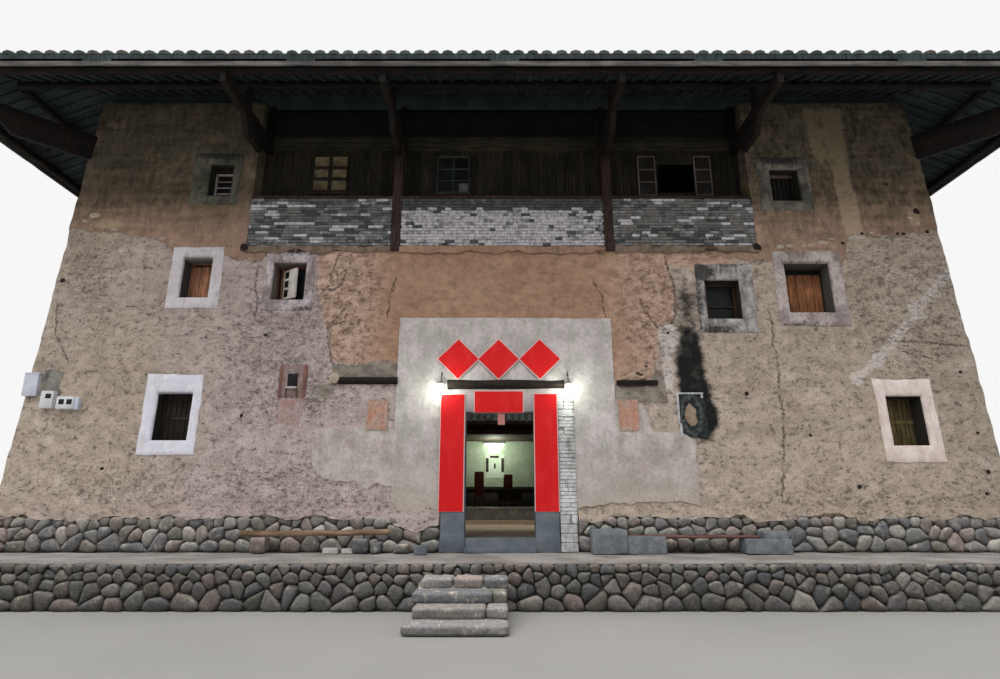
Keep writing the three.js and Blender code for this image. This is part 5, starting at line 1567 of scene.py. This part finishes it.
# Node, timber, rim, boards, their finish and the gap above them.
for node, timber, rim, count, board_finish, short in (
        ("window_ground_left", DEEP_BROWN, 0.045, 6, DEEP_BROWN, 0.0),
        ("window_ground_right", DEEP_BROWN, 0.045, 7, OLIVE, 0.0),
        ("window_second_left_outer", REDDISH, 0.04, 3, REDDISH, 0.05),
        ("window_second_left_inner", BROWN_TIMBER, 0.05, 0, None, 0),
        ("window_second_right_inner", SMOKED_FRAME, 0.065, 0, None, 0),
        ("window_second_right_outer", DEEP_BROWN, 0.045, 5, ORANGE, 0.11),
        ("window_third_left", DEEP_BROWN, 0.045, 0, None, 0),
        ("window_third_right", DEEP_BROWN, 0.04, 0, None, 0)):
    (low, high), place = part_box(node), node.removeprefix("window_")
    laid(f"frame_{place}", lattice(low.x, high.x, low.z, high.z, low.y, high.y, 1, 1, rim, 0), timber,
         "brown_timber", 0, node)
    # A near-black sheet behind the frame: painted shade of the room.
    keep(block(f"dark_{place}", low.x + 0.01, high.x - 0.01, high.y - 0.02, high.y - 0.005, low.z + 0.01,
        high.z - 0.01), PAINTED_SHADE_PANE, "brown_timber")
    if count:
        laid(f"boards_{place}", boards(low.x + rim, high.x - rim, low.z + rim, high.z - rim - short,
            low.y + 0.018, count), board_finish, "brown_timber", count)
    if node.startswith("window_ground"):
        middle = (low.z + high.z) / 2
        laid(f"rail_{place}", [(low.x + rim, high.x - rim, low.y + 0.002, low.y + 0.02, middle - 0.03,
            middle + 0.03)], board_finish, "brown_timber")

low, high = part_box("window_second_left_outer")
slab_up = TERRACE + 6.075
laid("slab_second_left_outer", [(-6.965, -6.335, wall_front(slab_up, -0.01), wall_front(slab_up, -0.3),
    slab_up - 0.065, slab_up + 0.055)], mineral("slate_head", (0.12, 0.125, 0.115), (0.22, 0.225, 0.21),
    0.1), "dressed_stone", 4)
laid("battens_second_left", [(x - 0.014, x + 0.014, low.y - 0.004, low.y + 0.02, low.z + 0.05, high.z - 0.09)
                             for x in (-6.7, -6.53)], BATTEN, "brown_timber", 2)
low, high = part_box("window_second_left_inner")
laid("strip_second_left_inner", [(low.x + 0.1, low.x + 0.15, low.y - 0.01, low.y + 0.05, low.z + 0.03,
    high.z - 0.06)], BROWN_TIMBER, "brown_timber")
CREAM = wood("cream_paint", (0.62, 0.55, 0.5), (0.82, 0.76, 0.72), "Z")
hinge = Matrix.Translation((low.x + 0.15, low.y + 0.02, 0))
swung = hinge @ Matrix.Rotation(math.radians(-32), 4, "Z") @ hinge.inverted()
sash = [(0.0, 0.03, 0.1, 0.78), (0.17, 0.42, 0.1, 0.78)]
sash += [(0.03, 0.17, z, z + 0.05) for z in (0.1, 0.32, 0.53, 0.73)]
laid("sash_second_left_inner", [swung @ spans(low.x + 0.15 + x0, low.x + 0.15 + x1, low.y + 0.01,
    low.y + 0.045, low.z + z0, low.z + z1) for x0, x1, z0, z1 in sash], CREAM, "brown_timber", 3)
# Its panes are near black: painted shade of the room seen through the glass.
laid("panes_second_left_inner", [swung @ spans(low.x + 0.16, low.x + 0.42, low.y + 0.025, low.y + 0.035,
    low.z + 0.12, low.z + 0.76)], PAINTED_SHADE_PANE, "brown_timber", 3)
low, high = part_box("window_second_right_inner")
laid("bar_second_right_inner", [(low.x + 0.06, high.x - 0.06, low.y + 0.02, low.y + 0.05, low.z + 0.36,
    low.z + 0.385), (low.x + 0.06, low.x + 0.15, low.y + 0.01, low.y + 0.06, low.z + 0.06, high.z - 0.06)],
    SMOKED_FRAME, "brown_timber")
low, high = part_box("window_third_left")
laid("sash_third_left", lattice(low.x + 0.02, high.x - 0.02, low.z + 0.02, high.z - 0.1, low.y - 0.02,
    low.y + 0.03, 1, 4, 0.045, 0.035), PALE_PAINT, "brown_timber", 5)
low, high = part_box("window_third_right")
laid("bars_third_right", [(x - 0.011, x + 0.011, low.y + 0.02, low.y + 0.045, low.z + 0.03, high.z - 0.03)
                          for x in np.linspace(low.x + 0.12, high.x - 0.12, 5)]
     + [(low.x + 0.03, high.x - 0.03, low.y + 0.02, low.y + 0.045, low.z + 0.06, low.z + 0.09)], DEEP_BROWN,
     "brown_timber", 6)
laid("lintel_third_right", [(low.x + 0.02, high.x - 0.02, low.y - 0.03, low.y + 0.03, high.z - 0.075,
    high.z)], DULL_PAINT, "brown_timber", 7)

# Windows of the side and back walls: plain barred frames of dark timber in two rows, set as deep in their
# openings as the front ones.
WING_TURNS = {"front": (0, 0, FRONT), "back": (math.pi, 0, BACK), "left": (-math.pi / 2, -HALF, MIDDLE),
              "right": (math.pi / 2, HALF, MIDDLE)}


def on_wing(name):
    """The place of a wing: X along it, Y inward from its outer face, Z up."""
    turn, x, y = WING_TURNS[name]
    return Matrix.Translation((x, y, 0)) @ Matrix.Rotation(turn, 4, "Z")


ROW_WIDTH, ROW_HEIGHT, ROW_DEEP = 0.7, 0.9, 0.3
for wing, row in (("left", (-3.2, 0, 3.2)), ("right", (-3.2, 0, 3.2)), ("back", (-6.4, 0, 6.4))):
    places = []
    for z in (6.2, 8.64):
        deep = lean(z) + ROW_DEEP
        for along in row:
            pieces = lattice(along - ROW_WIDTH / 2 + 0.003, along + ROW_WIDTH / 2 - 0.003,
                z - ROW_HEIGHT / 2 + 0.003, z + ROW_HEIGHT / 2 - 0.003, deep, deep + 0.06, 5, 1, 0.05, 0.03)
            places += [on_wing(wing) @ piece for piece in pieces]
    laid(f"row_windows_{wing}", places, DEEP_BROWN, "brown_timber", 8)

# Roof: fired clay tiles laid dry on rafters, rows of hollow pan tiles with half-round cover tiles over
# their joints. The wide eaves rest on arms that run out from the walls, and on log purlins.
EAVE, PITCH_LINE, INNER_EAVE = -2.022, 2.85, 6.2
UNDERSIDE, SLOPE = 9.9, 0.44
TILE_TURN = math.atan(SLOPE)
RAFTER_PITCH, COURSE_RUN = 0.278, 0.17 * math.cos(TILE_TURN)
BED = 0.2                           # top of the tile bed over the underside
ROOF_THICK = 0.3                    # of the solid, bed and tiles together
TILE_LIE = -0.055                   # a tile lies flatter than the slope, on the one below it
TILE_LENGTH = 0.215
RAFTER_WIDE, RAFTER_HIGH = 0.075, 0.05
EAVE_BOARD = 3.9                    # about how long one board of the eave is
CORNER_COLUMNS = 9                  # columns of tiles past the end of a wall


def wing_half(name):
    return HALF if name in ("front", "back") else (BACK - FRONT) / 2


def underside(inward):
    return UNDERSIDE + SLOPE * (min(inward, 2 * PITCH_LINE - inward) - EAVE)


def on_slope(wing, along, inward, lift, tilt=0.0):
    """A place on the roof of a wing, its Y axis up the slope."""
    turn = Matrix.Rotation(math.pi if inward > PITCH_LINE else 0, 4, "Z")
    return (on_wing(wing) @ Matrix.Translation((along, inward, underside(inward) + lift)) @ turn
            @ Matrix.Rotation(TILE_TURN + tilt, 4, "X"))


def tile_shape(radius, flat, length, sides, hollow=False):
    """One tile: half a drum with closed ends, squashed to its rise, or turned over as a shallow trough."""
    deselect()
    bpy.ops.mesh.primitive_cylinder_add(vertices=sides * 2, radius=radius, depth=length, location=(0, 0, 0),
        rotation=(math.pi / 2, 0, 0))
    piece = bpy.context.object
    bpy.ops.object.transform_apply(location=True, rotation=True, scale=True)
    with editing(piece):
        bpy.ops.mesh.bisect(plane_co=(0, 0, -0.001), plane_no=(0, 0, 1), clear_inner=True, use_fill=False)
    for vertex in piece.data.vertices:
        vertex.co.y += length / 2
        vertex.co.z *= -flat if hollow else flat
        vertex.co.x *= 1 - 0.1 * vertex.co.y / length
    return shape_of(piece)


def tile_finish():
    finish = Finish("clay_tile")
    blotch = finish.cloud(0.5, detail=5, roughness=0.65)
    grain = finish.cloud(0.02, detail=3, roughness=0.7)
    tone = finish.given("tone")
    color = finish.mix(tone, (0.068, 0.082, 0.082), (0.185, 0.212, 0.208))
    color = finish.over(color, finish.sum(tone, blotch), 1.2, 1.5, (0.14, 0.1, 0.075), 0.7)
    color = finish.over(color, blotch, 0.5, 0.72, (0.075, 0.09, 0.062), 0.75)
    color = finish.vary(color, grain, 0.3, 0.7, 0.8, 1.18)
    return finish.surface(color, 0.88, finish.sum(grain, blotch), 0.006)


TILE = tile_finish()
# The soffit and rafters are near black: smoke, and painted shade under the eave.
SOFFIT = wood("soffit_smoke_and_shade", (0.018, 0.026, 0.029), (0.056, 0.073, 0.08), "Z")
FASCIA = wood("eave_board", (0.075, 0.07, 0.068), (0.165, 0.155, 0.15), "X", size=0.05)
COVER_TILE = tile_shape(0.118, 0.63, TILE_LENGTH, 4)
PAN_TILE = tile_shape(0.125, 0.2, TILE_LENGTH, 3, hollow=True)
draw = random.Random(61)
for wing in WING_TURNS:
    slab = loose_copy(f"roof_{wing}", f"roof_bed_{wing}")
    to_wing = on_wing(wing).inverted()
    for vertex in slab.data.vertices:
        inward = (to_wing @ vertex.co).y
        over = vertex.co.z - underside(inward)
        if over > 0.25:
            vertex.co.z -= ROOF_THICK - BED
        elif over > -0.1 or inward < EAVE + 0.1 or inward > INNER_EAVE - 0.1:
            vertex.co.z = underside(inward) + 0.05
    keep(tone_of(slab), SOFFIT, "tile", f"roof_{wing}")
    half = wing_half(wing)
    covers, pans, rafters = [], [], []
    columns = int(half / RAFTER_PITCH) + CORNER_COLUMNS
    for column in range(-columns, columns + 1):
        for shift, tiles, kind in ((0.0, covers, "cover"), (0.5, pans, "pan")):
            along = (column + shift) * RAFTER_PITCH
            reach = half - abs(along) - 0.06
            for first, last, way in ((EAVE + 0.012, min(PITCH_LINE - 0.1, reach), 1),
                                     (INNER_EAVE - 0.012, PITCH_LINE + 0.1, -1)):
                inward = first
                while (inward < last - 0.1) if way > 0 else (inward > last + 0.1):
                    if inward < reach - 0.12:
                        lift = BED + (0.022 if kind == "cover" else 0.034)
                        tiles.append(on_slope(wing, along + draw.uniform(-0.008, 0.008), inward,
                                              lift + draw.uniform(-0.004, 0.004), TILE_LIE)
                                     @ Matrix.Rotation(draw.uniform(-0.03, 0.03), 4, "Z"))
                    inward += way * COURSE_RUN
        along = column * RAFTER_PITCH
        hip = half - abs(along) - 0.05
        for start, run in ((EAVE + 0.05, min(PITCH_LINE, hip) - EAVE - 0.05),
                           (min(INNER_EAVE - 0.05, hip), min(INNER_EAVE - 0.05, hip) - PITCH_LINE)):
            if run > 0.2:
                run /= math.cos(TILE_TURN)
                rafters.append(on_slope(wing, along, start, 0.028) @ Matrix.Translation((0, run / 2, 0))
                               @ Matrix.Diagonal((RAFTER_WIDE, run, RAFTER_HIGH, 1)))
    for kind, shape, tiles in (("cover", COVER_TILE, covers), ("pan", PAN_TILE, pans)):
        keep(lay_toned(f"{kind}_tiles_{wing}", shape, tiles, draw), TILE, "tile", angle=50)
    keep(lay_toned(f"rafters_{wing}", BRICK_SHAPE, rafters, draw), SOFFIT, "old_timber")
    boards_along = []
    for line, thick, bottom in ((EAVE, 0.04, UNDERSIDE - 0.04),
                                (INNER_EAVE - 0.04, 0.04, underside(INNER_EAVE) - 0.04)):
        reach = half - line - (0.04 if line > 0 else 0.0)
        count = max(2, round(2 * reach / EAVE_BOARD))
        for number in range(count):
            x0, x1 = -reach + 2 * reach * number / count, -reach + 2 * reach * (number + 1) / count
            boards_along.append(on_wing(wing) @ spans(x0 + 0.002, x1 - 0.002, line, line + thick, bottom,
                bottom + 0.15 + draw.uniform(-0.006, 0.004)))
    keep(lay_toned(f"eave_boards_{wing}", BRICK_SHAPE, boards_along, draw), FASCIA, "old_timber")
    # The roof's timbers are near black: smoke, and painted shade under the eave.
    timbers = tone_of(eased(f"roof_frame_{wing}", f"roof_timbers_{wing}", 0.012, 1))
    keep(timbers, wood(f"smoked_timber_{wing}", (0.006, 0.005, 0.004), (0.022, 0.016, 0.013),
        "X" if wing in ("front", "back") else "Y"), "old_timber", f"roof_frame_{wing}", angle=40)

# Ridges: flat tiles stacked in mortar along the top of each slope, with a run of half-round tiles on top,
# and the same down each hip.
ridges = eased("roof_ridges", "ridge_courses", 0.01, 1)
keep(tone_of(ridges), TILE, "tile", "roof_ridges")

# Floors and courtyard frames: boarded rings carried on the earth walls and on round the court by posts,
# beams and low boarded rails. A pent roof covers the walk in front of the hall.
BOARDED = wood("floor_boards", (0.045, 0.032, 0.024), (0.115, 0.078, 0.055), "X")
for node in ("floor_second", "floor_third"):
    keep(tone_of(eased(node, node.replace("floor", "boarded"), 0.006, 1)), BOARDED, "brown_timber", node)
for wing in WING_TURNS:
    node = f"courtyard_frame_{wing}"
    keep(tone_of(eased(node, f"court_timbers_{wing}", 0.01, 1)), SMOKED_UPRIGHT, "old_timber", node)
RING, PENT_REACH, PENT_TOP, PENT_DROP = 4.9, 0.9, 5.06, 0.38
PENT_COLUMNS, PENT_COURSES = 16, 6  # columns on each side of the middle one, and tiles in each
pent_turn = math.atan(PENT_DROP / PENT_REACH)
places = []
for column in range(-PENT_COLUMNS, PENT_COLUMNS + 1):
    for course in range(PENT_COURSES):
        inward = RING + PENT_REACH + 0.03 - course * COURSE_RUN
        up = PENT_TOP - PENT_DROP * (inward - RING) / PENT_REACH
        places.append(on_wing("back") @ Matrix.Translation((column * RAFTER_PITCH, inward, up + 0.01))
                      @ Matrix.Rotation(math.pi, 4, "Z") @ Matrix.Rotation(pent_turn + TILE_LIE, 4, "X"))
keep(lay_toned("pent_tiles", COVER_TILE, places, draw), TILE, "tile", angle=50)

# Hall behind the courtyard, as far as the open door shows it: a limewashed wall with two bare scrolls, a
# strip lamp and two globes, a raised stone floor, and dark furniture on it.
HALL_FLOOR, HALL_BACK, HALL_EDGE = 1.36, 8.655, 5.15
HALL_LIME = mineral("hall_limewash", (0.4, 0.455, 0.335), (0.54, 0.575, 0.455), 0.9, 0.004)
PALE_PANEL = mineral("hall_panel", (0.66, 0.72, 0.58), (0.76, 0.8, 0.68), 0.5, 0.002, 0.6)
RED_BROWN = wood("red_brown_furniture", (0.075, 0.02, 0.014), (0.19, 0.05, 0.035), "Z")
DARK_FURNITURE = wood("dark_furniture", (0.02, 0.016, 0.014), (0.06, 0.042, 0.036), "Z")
STEP_STONE = mineral("hall_step_stone", (0.22, 0.23, 0.23), (0.4, 0.39, 0.36), 0.3, 0.006)
keep(block("hall_wall", -2.6, 2.5, HALL_BACK - 0.04, HALL_BACK, 0.88, 4.28), HALL_LIME, "plaster")
keep(block("hall_panel", -0.76, 0.1, HALL_BACK - 0.055, HALL_BACK - 0.035, 2.62, 3.66), PALE_PANEL, "plaster")
laid("hall_scrolls", [(x - 0.062, x + 0.062, HALL_BACK - 0.075, HALL_BACK - 0.05, 2.9, 3.53)
                      for x in (-0.68, 0.03)]
     + [(-0.55, -0.14, HALL_BACK - 0.09, HALL_BACK - 0.05, 3.545, 3.64),
        (-0.37, -0.29, HALL_BACK - 0.075, HALL_BACK - 0.05, 3.06, 3.28)], DARK_FURNITURE, "brown_timber")
keep(block("hall_platform", -4.4, 4.4, HALL_EDGE, HALL_BACK - 0.05, 0.875, HALL_FLOOR - 0.01), STEP_STONE,
    "rubble")
laid("hall_edge_slabs", [(x0, x1, HALL_EDGE - 0.03, HALL_EDGE + 0.3, HALL_FLOOR - 0.075, HALL_FLOOR)
                         for x0, x1 in ((-2.6, -0.92), (-0.9, 0.3), (0.42, 0.8), (0.93, 2.4))], STEP_STONE,
     "rubble")
laid("hall_furniture", [(-2.4, 2.2, 8.0, 8.42, 2.1, 2.22), (-2.35, 2.15, 8.06, 8.38, HALL_FLOOR, 2.1),
                        (-0.2, 0.92, 6.7, 7.25, 2.06, 2.13), (-0.16, -0.08, 6.74, 6.8, HALL_FLOOR, 2.06),
                        (0.8, 0.88, 6.74, 6.8, HALL_FLOOR, 2.06), (-0.08, 0.8, 6.78, 7.2, 1.6, 2.06)],
     DARK_FURNITURE, "brown_timber")
chairs = []
for left, right, top in ((-1.22, -0.8, 2.86), (0.07, 0.47, 2.74)):
    chairs += [(left, right, 7.3, 7.34, 1.85, top), (left, right, 6.9, 7.34, 1.78, 1.85)]
    chairs += [(x, x + 0.05, y, y + 0.05, HALL_FLOOR, 1.8) for x in (left, right - 0.05) for y in (6.9, 7.29)]
laid("hall_chairs", chairs, RED_BROWN, "brown_timber")
STRIP_LAMP = glow_finish("strip_lamp", (0.9, 1.0, 0.9), 6.0)
keep(block("strip_lamp", -0.8, 0.09, HALL_BACK - 0.16, HALL_BACK - 0.11, 4.125, 4.2), STRIP_LAMP,
    "lamp_glass")
keep(block("strip_lamp_tray", -0.84, 0.13, HALL_BACK - 0.17, HALL_BACK - 0.04, 4.2, 4.245), LAMP_METAL,
    "lamp_metal")
for side, x in (("left", -0.52), ("right", -0.18)):
    glass_globe(f"hall_globe_{side}", x, HALL_BACK - 0.2, 3.9, 0.11, 16, 8, STRIP_LAMP)
point_lamp("hall_light", -0.35, HALL_BACK - 1.3, 3.9, energy=85, radius=0.3, color=(0.86, 1.0, 0.82))

# Seats on the terrace: on the left a barked log on field stones, on the right granite blocks with a thin
# plank between them.
seat_low, seat_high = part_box("bench_left")
SEAT_WOOD = wood("seat_log", (0.17, 0.105, 0.065), (0.36, 0.24, 0.16), "X")
seat_y = (seat_low.y + seat_high.y) / 2
keep(tone_of(log("seat_log", (seat_low.x, seat_y - 0.02, TERRACE + 0.35),
    (seat_high.x + 0.15, seat_y - 0.02, TERRACE + 0.37), 0.058, 12, 0.03)), SEAT_WOOD, "brown_timber",
    "bench_left")
GRANITE = rubble_finish("seat_granite", 1.75)
seat_stones = []
for number, (x0, x1, height, tone) in enumerate(((-4.68, -4.4, 0.28, 0.55), (-2.82, -2.52, 0.27, 0.05),
        (-2.46, -2.28, 0.2, 0.0), (-2.05, -1.78, 0.17, 0.15))):
    stone = rough_slab("seat_stone", x0, x1, seat_low.y + 0.02, seat_high.y - 0.02, TERRACE,
        TERRACE + height, 0.05)
    seat_stones.append(tone_of(stone, tone))
keep(marked_for_dust_and_light(joined("seat_stones_left", seat_stones)), GRANITE, "rubble", angle=60)
seat_low, seat_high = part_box("bench_right")
blocks = []
for x0, x1, foot, top, back in ((1.6, 2.24, 0, 0.43, 0), (2.25, 2.95, 0, 0.31, 0.03), (4.4, 5.24, 0, 0.27, 0),
                                (4.76, 5.2, 0.262, 0.4, 0.02)):
    stone = block("seat_block", x0, x1, seat_low.y + back, seat_high.y, TERRACE + foot, TERRACE + top)
    cut_net(stone, (0.16, 0.12, 0.12))
    roughen(stone, 0.016, 0.3, TERRACE)
    blocks.append(worn_edges(stone, 0.014, sharp=50))
keep(joined("seat_blocks_right", blocks), mineral("seat_block_stone", (0.165, 0.18, 0.195),
    (0.275, 0.29, 0.305), 0.14, 0.008), "dressed_stone", "bench_right", angle=50)
plank = rough_slab("seat_plank", 2.15, 4.74, seat_low.y + 0.09, seat_high.y - 0.04, TERRACE + 0.27,
    TERRACE + 0.325, 0.008)
keep(tone_of(plank), wood("seat_plank", (0.12, 0.06, 0.05), (0.24, 0.125, 0.105), "X"), "brown_timber",
    angle=50)

# Small shrine on the left: a red-brown panel with darker edges round a hole in the wall, a plaster ornament
# over the hole and a whitened ledge under it, and the last of a red paper below.
def fixed(name, boxes, material, slot, seed=0):
    """Boxes on the front wall: left, right, low and high above the terrace, and how far they stand out."""
    places = []
    for x0, x1, low, high, out_from, out_to in boxes:
        up = TERRACE + (low + high) / 2
        places.append((x0, x1, wall_front(up, out_to), wall_front(up, out_from), TERRACE + low,
            TERRACE + high))
    laid(name, places, material, slot, seed)


SHRINE_WOOD = wood("shrine_wood", (0.115, 0.05, 0.042), (0.23, 0.115, 0.095), "Z")
SHRINE_PINK = lime_finish("shrine_pink", (0.29, 0.205, 0.19), (0.4, 0.3, 0.275), (0.21, 0.115, 0.1))
fixed("shrine_panel", [(-4.58, -4.43, 2.98, 3.66, -0.03, 0.03), (-4.22, -4.06, 2.98, 3.66, -0.03, 0.03),
    (-4.44, -4.21, 3.46, 3.66, -0.03, 0.03), (-4.44, -4.21, 2.98, 3.17, -0.03, 0.022)], SHRINE_PINK,
    "plaster", 1)
fixed("shrine_edges", [(-4.6, -4.535, 2.97, 3.62, -0.03, 0.042), (-4.11, -4.045, 2.97, 3.64, -0.03, 0.042),
    (-4.455, -4.425, 2.99, 3.15, -0.03, 0.036), (-4.24, -4.205, 2.99, 3.15, -0.03, 0.036)], SHRINE_WOOD,
    "brown_timber", 2)
# The hole is a near-black box: painted shade.
fixed("shrine_hole", [(-4.445, -4.215, 3.16, 3.48, -0.03, 0.012)], PAINTED_SHADE_PANE, "brown_timber")
fixed("shrine_ledge", [(-4.44, -4.22, 3.145, 3.185, 0.0, 0.085)], PANEL_LIME, "plaster")
ORNAMENT_LIME = mineral("ornament_lime", (0.3, 0.28, 0.25), (0.5, 0.48, 0.45), 0.05, 0.004)
ornament = [(x, 3.505 - 0.035 * math.cos((x + 4.33) * 24), 0.028, 0.03) for x in np.linspace(-4.42, -4.24, 7)]
pocks("shrine_ornament", ornament + [(-4.33, 3.53, 0.045, 0.04)], ORNAMENT_LIME, "plaster", dome=0.045,
    seed=5)
FADED_RED = lime_finish("faded_red_paper", (0.54, 0.285, 0.205), (0.5, 0.385, 0.33), (0.55, 0.24, 0.165),
    flaws=0.6)
SMEARED_RED = lime_finish("smeared_red", (0.43, 0.28, 0.265), (0.46, 0.34, 0.32), (0.44, 0.24, 0.22))
keep(plaster_skin("shrine_smear", [(-4.56, 2.95), (-4.1, 2.95)], [(-4.56, 2.42), (-4.1, 2.4)], 0.004,
    ragged=0.04), SMEARED_RED, "plaster")

# Faded papers: one upright sheet pasted on the plaster on each side of the door, so bleached that little
# of its red is left.
for side, left, right, low, high in (("left", -2.75, -2.35, 2.31, 2.92), ("right", 2.3, 2.69, 2.29, 2.92)):
    keep(paper(f"faded_square_{side}", upright(left, right, TERRACE + low, TERRACE + high),
        lambda up: wall_front(up, 0.04), (6, 9)), FADED_RED, "red_paper")

# Timbers let into the wall on both sides of the door: a black log with its pale sawn end on the left, and
# a smoked plank on the right under a row of pale stones.
up = TERRACE + 3.315
stub = log("wall_log", (-3.4, wall_front(up, 0.005), up), (-2.18, wall_front(up, 0.005), up), 0.075, 12,
    0.012, 1.0)
keep(tone_of(stub, 0.2), SMOKED_ALONG_X, "old_timber", angle=50)
SAWN_END = wood("sawn_end", (0.44, 0.34, 0.265), (0.6, 0.49, 0.41), "Z")
keep(tone_of(log("wall_log_end", (-3.47, wall_front(up, 0.085), up + 0.04),
    (-3.455, wall_front(up, -0.02), up + 0.04), 0.105, 14, 0.006, 1.0)), SAWN_END, "brown_timber", angle=40)
fixed("wall_plank", [(2.29, 3.13, 3.215, 3.325, -0.08, 0.035), (2.33, 2.86, 3.195, 3.23, -0.08, 0.05)],
    SMOKED_ALONG_X, "old_timber", 3)
PALE_STONE = mineral("pale_wall_stone", (0.42, 0.28, 0.2), (0.6, 0.43, 0.33), 0.07, 0.012)
pocks("wall_plank_stones", [(2.42, 3.47, 0.14, 0.1), (2.56, 3.56, 0.13, 0.09), (2.68, 3.42, 0.12, 0.08),
                            (2.86, 3.57, 0.13, 0.08), (2.98, 3.46, 0.12, 0.1), (2.83, 3.38, 0.11, 0.05),
                            (2.46, 3.37, 0.12, 0.05)], PALE_STONE, "rubble", dome=0.02, seed=9)
# Dark domes for the holes beside the plank: their dark is painted shade.
pocks("wall_plank_hole", [(2.73, 3.47, 0.06, 0.035), (2.8, 3.45, 0.05, 0.025), (2.92, 3.62, 0.05, 0.02)],
    HOLE_SHADE, "earth", dome=0.024, seed=3)

# Blackened niche on the right: a sooty field of thin plaster behind a thin white rim, with an oval of tan
# clay pressed on it inside a rough dark wreath.
SOOTED = mineral("sooted_plaster", (0.016, 0.02, 0.024), (0.045, 0.052, 0.056), 0.06, 0.006, 0.8)
keep(plaster_skin("niche_field", [(3.5, 3.04), (4.06, 3.04)], [(3.5, 2.32), (3.72, 2.17), (4.06, 2.14)],
    0.016, ragged=0.05), SOOTED, "plaster")
pocks("niche_oval", [(3.755, 2.6, 0.185, 0.32)], mineral("niche_clay", (0.27, 0.185, 0.12),
    (0.42, 0.33, 0.235), 0.12, 0.004), "plaster", dome=0.035, seed=12)
deselect()
bpy.ops.mesh.primitive_torus_add(major_segments=48, minor_segments=8, major_radius=1, minor_radius=0.2)
wreath = bpy.context.object
wreath.name = "niche_wreath"
for vertex in wreath.data.vertices:
    x, above, out = vertex.co.x * 0.2, vertex.co.y * 0.38, vertex.co.z * 0.1
    vertex.co = on_face(3.765 + x, TERRACE + 2.6 + above, 0.02 + out)
roughen(wreath, 0.035, 0.05)
keep(wreath, mineral("niche_wreath", (0.012, 0.015, 0.019), (0.105, 0.12, 0.11), 0.07, 0.004, 0.6),
    "plaster", angle=60)
fixed("niche_rim", [(3.485, 3.525, 2.42, 3.06, -0.02, 0.042), (3.49, 4.03, 3.03, 3.065, -0.02, 0.042),
    (3.5, 3.555, 2.17, 2.44, -0.02, 0.04), (3.98, 4.02, 2.95, 3.05, -0.02, 0.04)],
    mineral("niche_rim", (0.42, 0.42, 0.44), (0.66, 0.66, 0.68), 0.1, 0.003), "plaster", 4)

# Meter boxes on the left corner: a grey steel box, and two white plastic ones with dark glass windows,
# screwed to a patch of grey mortar.
keep(plaster_skin("meter_mortar", [(-9.45, 3.56), (-9.06, 3.5)], [(-9.45, 2.96), (-9.06, 2.98)], 0.006,
    ragged=0.09), lime_finish("meter_mortar", (0.17, 0.16, 0.14), (0.32, 0.3, 0.265), (0.06, 0.055, 0.05)),
    "plaster")
STEEL = mineral("box_steel", (0.6, 0.62, 0.72), (0.76, 0.78, 0.88), 0.25, 0.001, 0.45)
WHITE_PLASTIC = mineral("box_plastic", (0.7, 0.71, 0.73), (0.84, 0.85, 0.88), 0.3, 0.0006, 0.4)
fixed("meter_box_steel", [(-9.77, -9.483, 2.99, 3.45, -0.03, 0.087),
    (-9.78, -9.473, 3.44, 3.47, -0.03, 0.1)], STEEL, "meter_box", 5)
fixed("meter_boxes_white", [(-9.335, -9.083, 2.735, 3.085, -0.02, 0.12),
    (-9.0, -8.65, 2.72, 2.97, -0.02, 0.12)], WHITE_PLASTIC, "meter_box", 6)
fixed("meter_box_grey", [(-8.648, -8.555, 2.71, 2.96, -0.02, 0.1)], STEEL, "meter_box", 7)
fixed("meter_windows", [(-9.235, -9.12, 2.93, 3.03, 0.05, 0.128), (-8.945, -8.84, 2.81, 2.915, 0.05, 0.128),
    (-8.79, -8.68, 2.81, 2.915, 0.05, 0.128)], mineral("meter_glass", (0.01, 0.011, 0.012),
    (0.03, 0.032, 0.034), 0.05, 0.0005, 0.2), "meter_box", 8)

# Loose on the terrace: two small whitish bricks under the log seat, and an offcut of the dressed stone
# beside the left jamb. Nothing holds them.
laid("loose_block", [(-1.64, -1.41, FRONT - 0.6, FRONT - 0.46, TERRACE, TERRACE + 0.16)], DRESSED, "brick", 8)
laid("loose_bricks", [(-3.36, -3.08, FRONT - 0.32, FRONT - 0.22, TERRACE, TERRACE + 0.1),
    (-3.02, -2.72, FRONT - 0.28, FRONT - 0.18, TERRACE, TERRACE + 0.085)],
    mineral("loose_brick", (0.5, 0.48, 0.45), (0.7, 0.68, 0.64), 0.08, 0.005), "brick", 9)
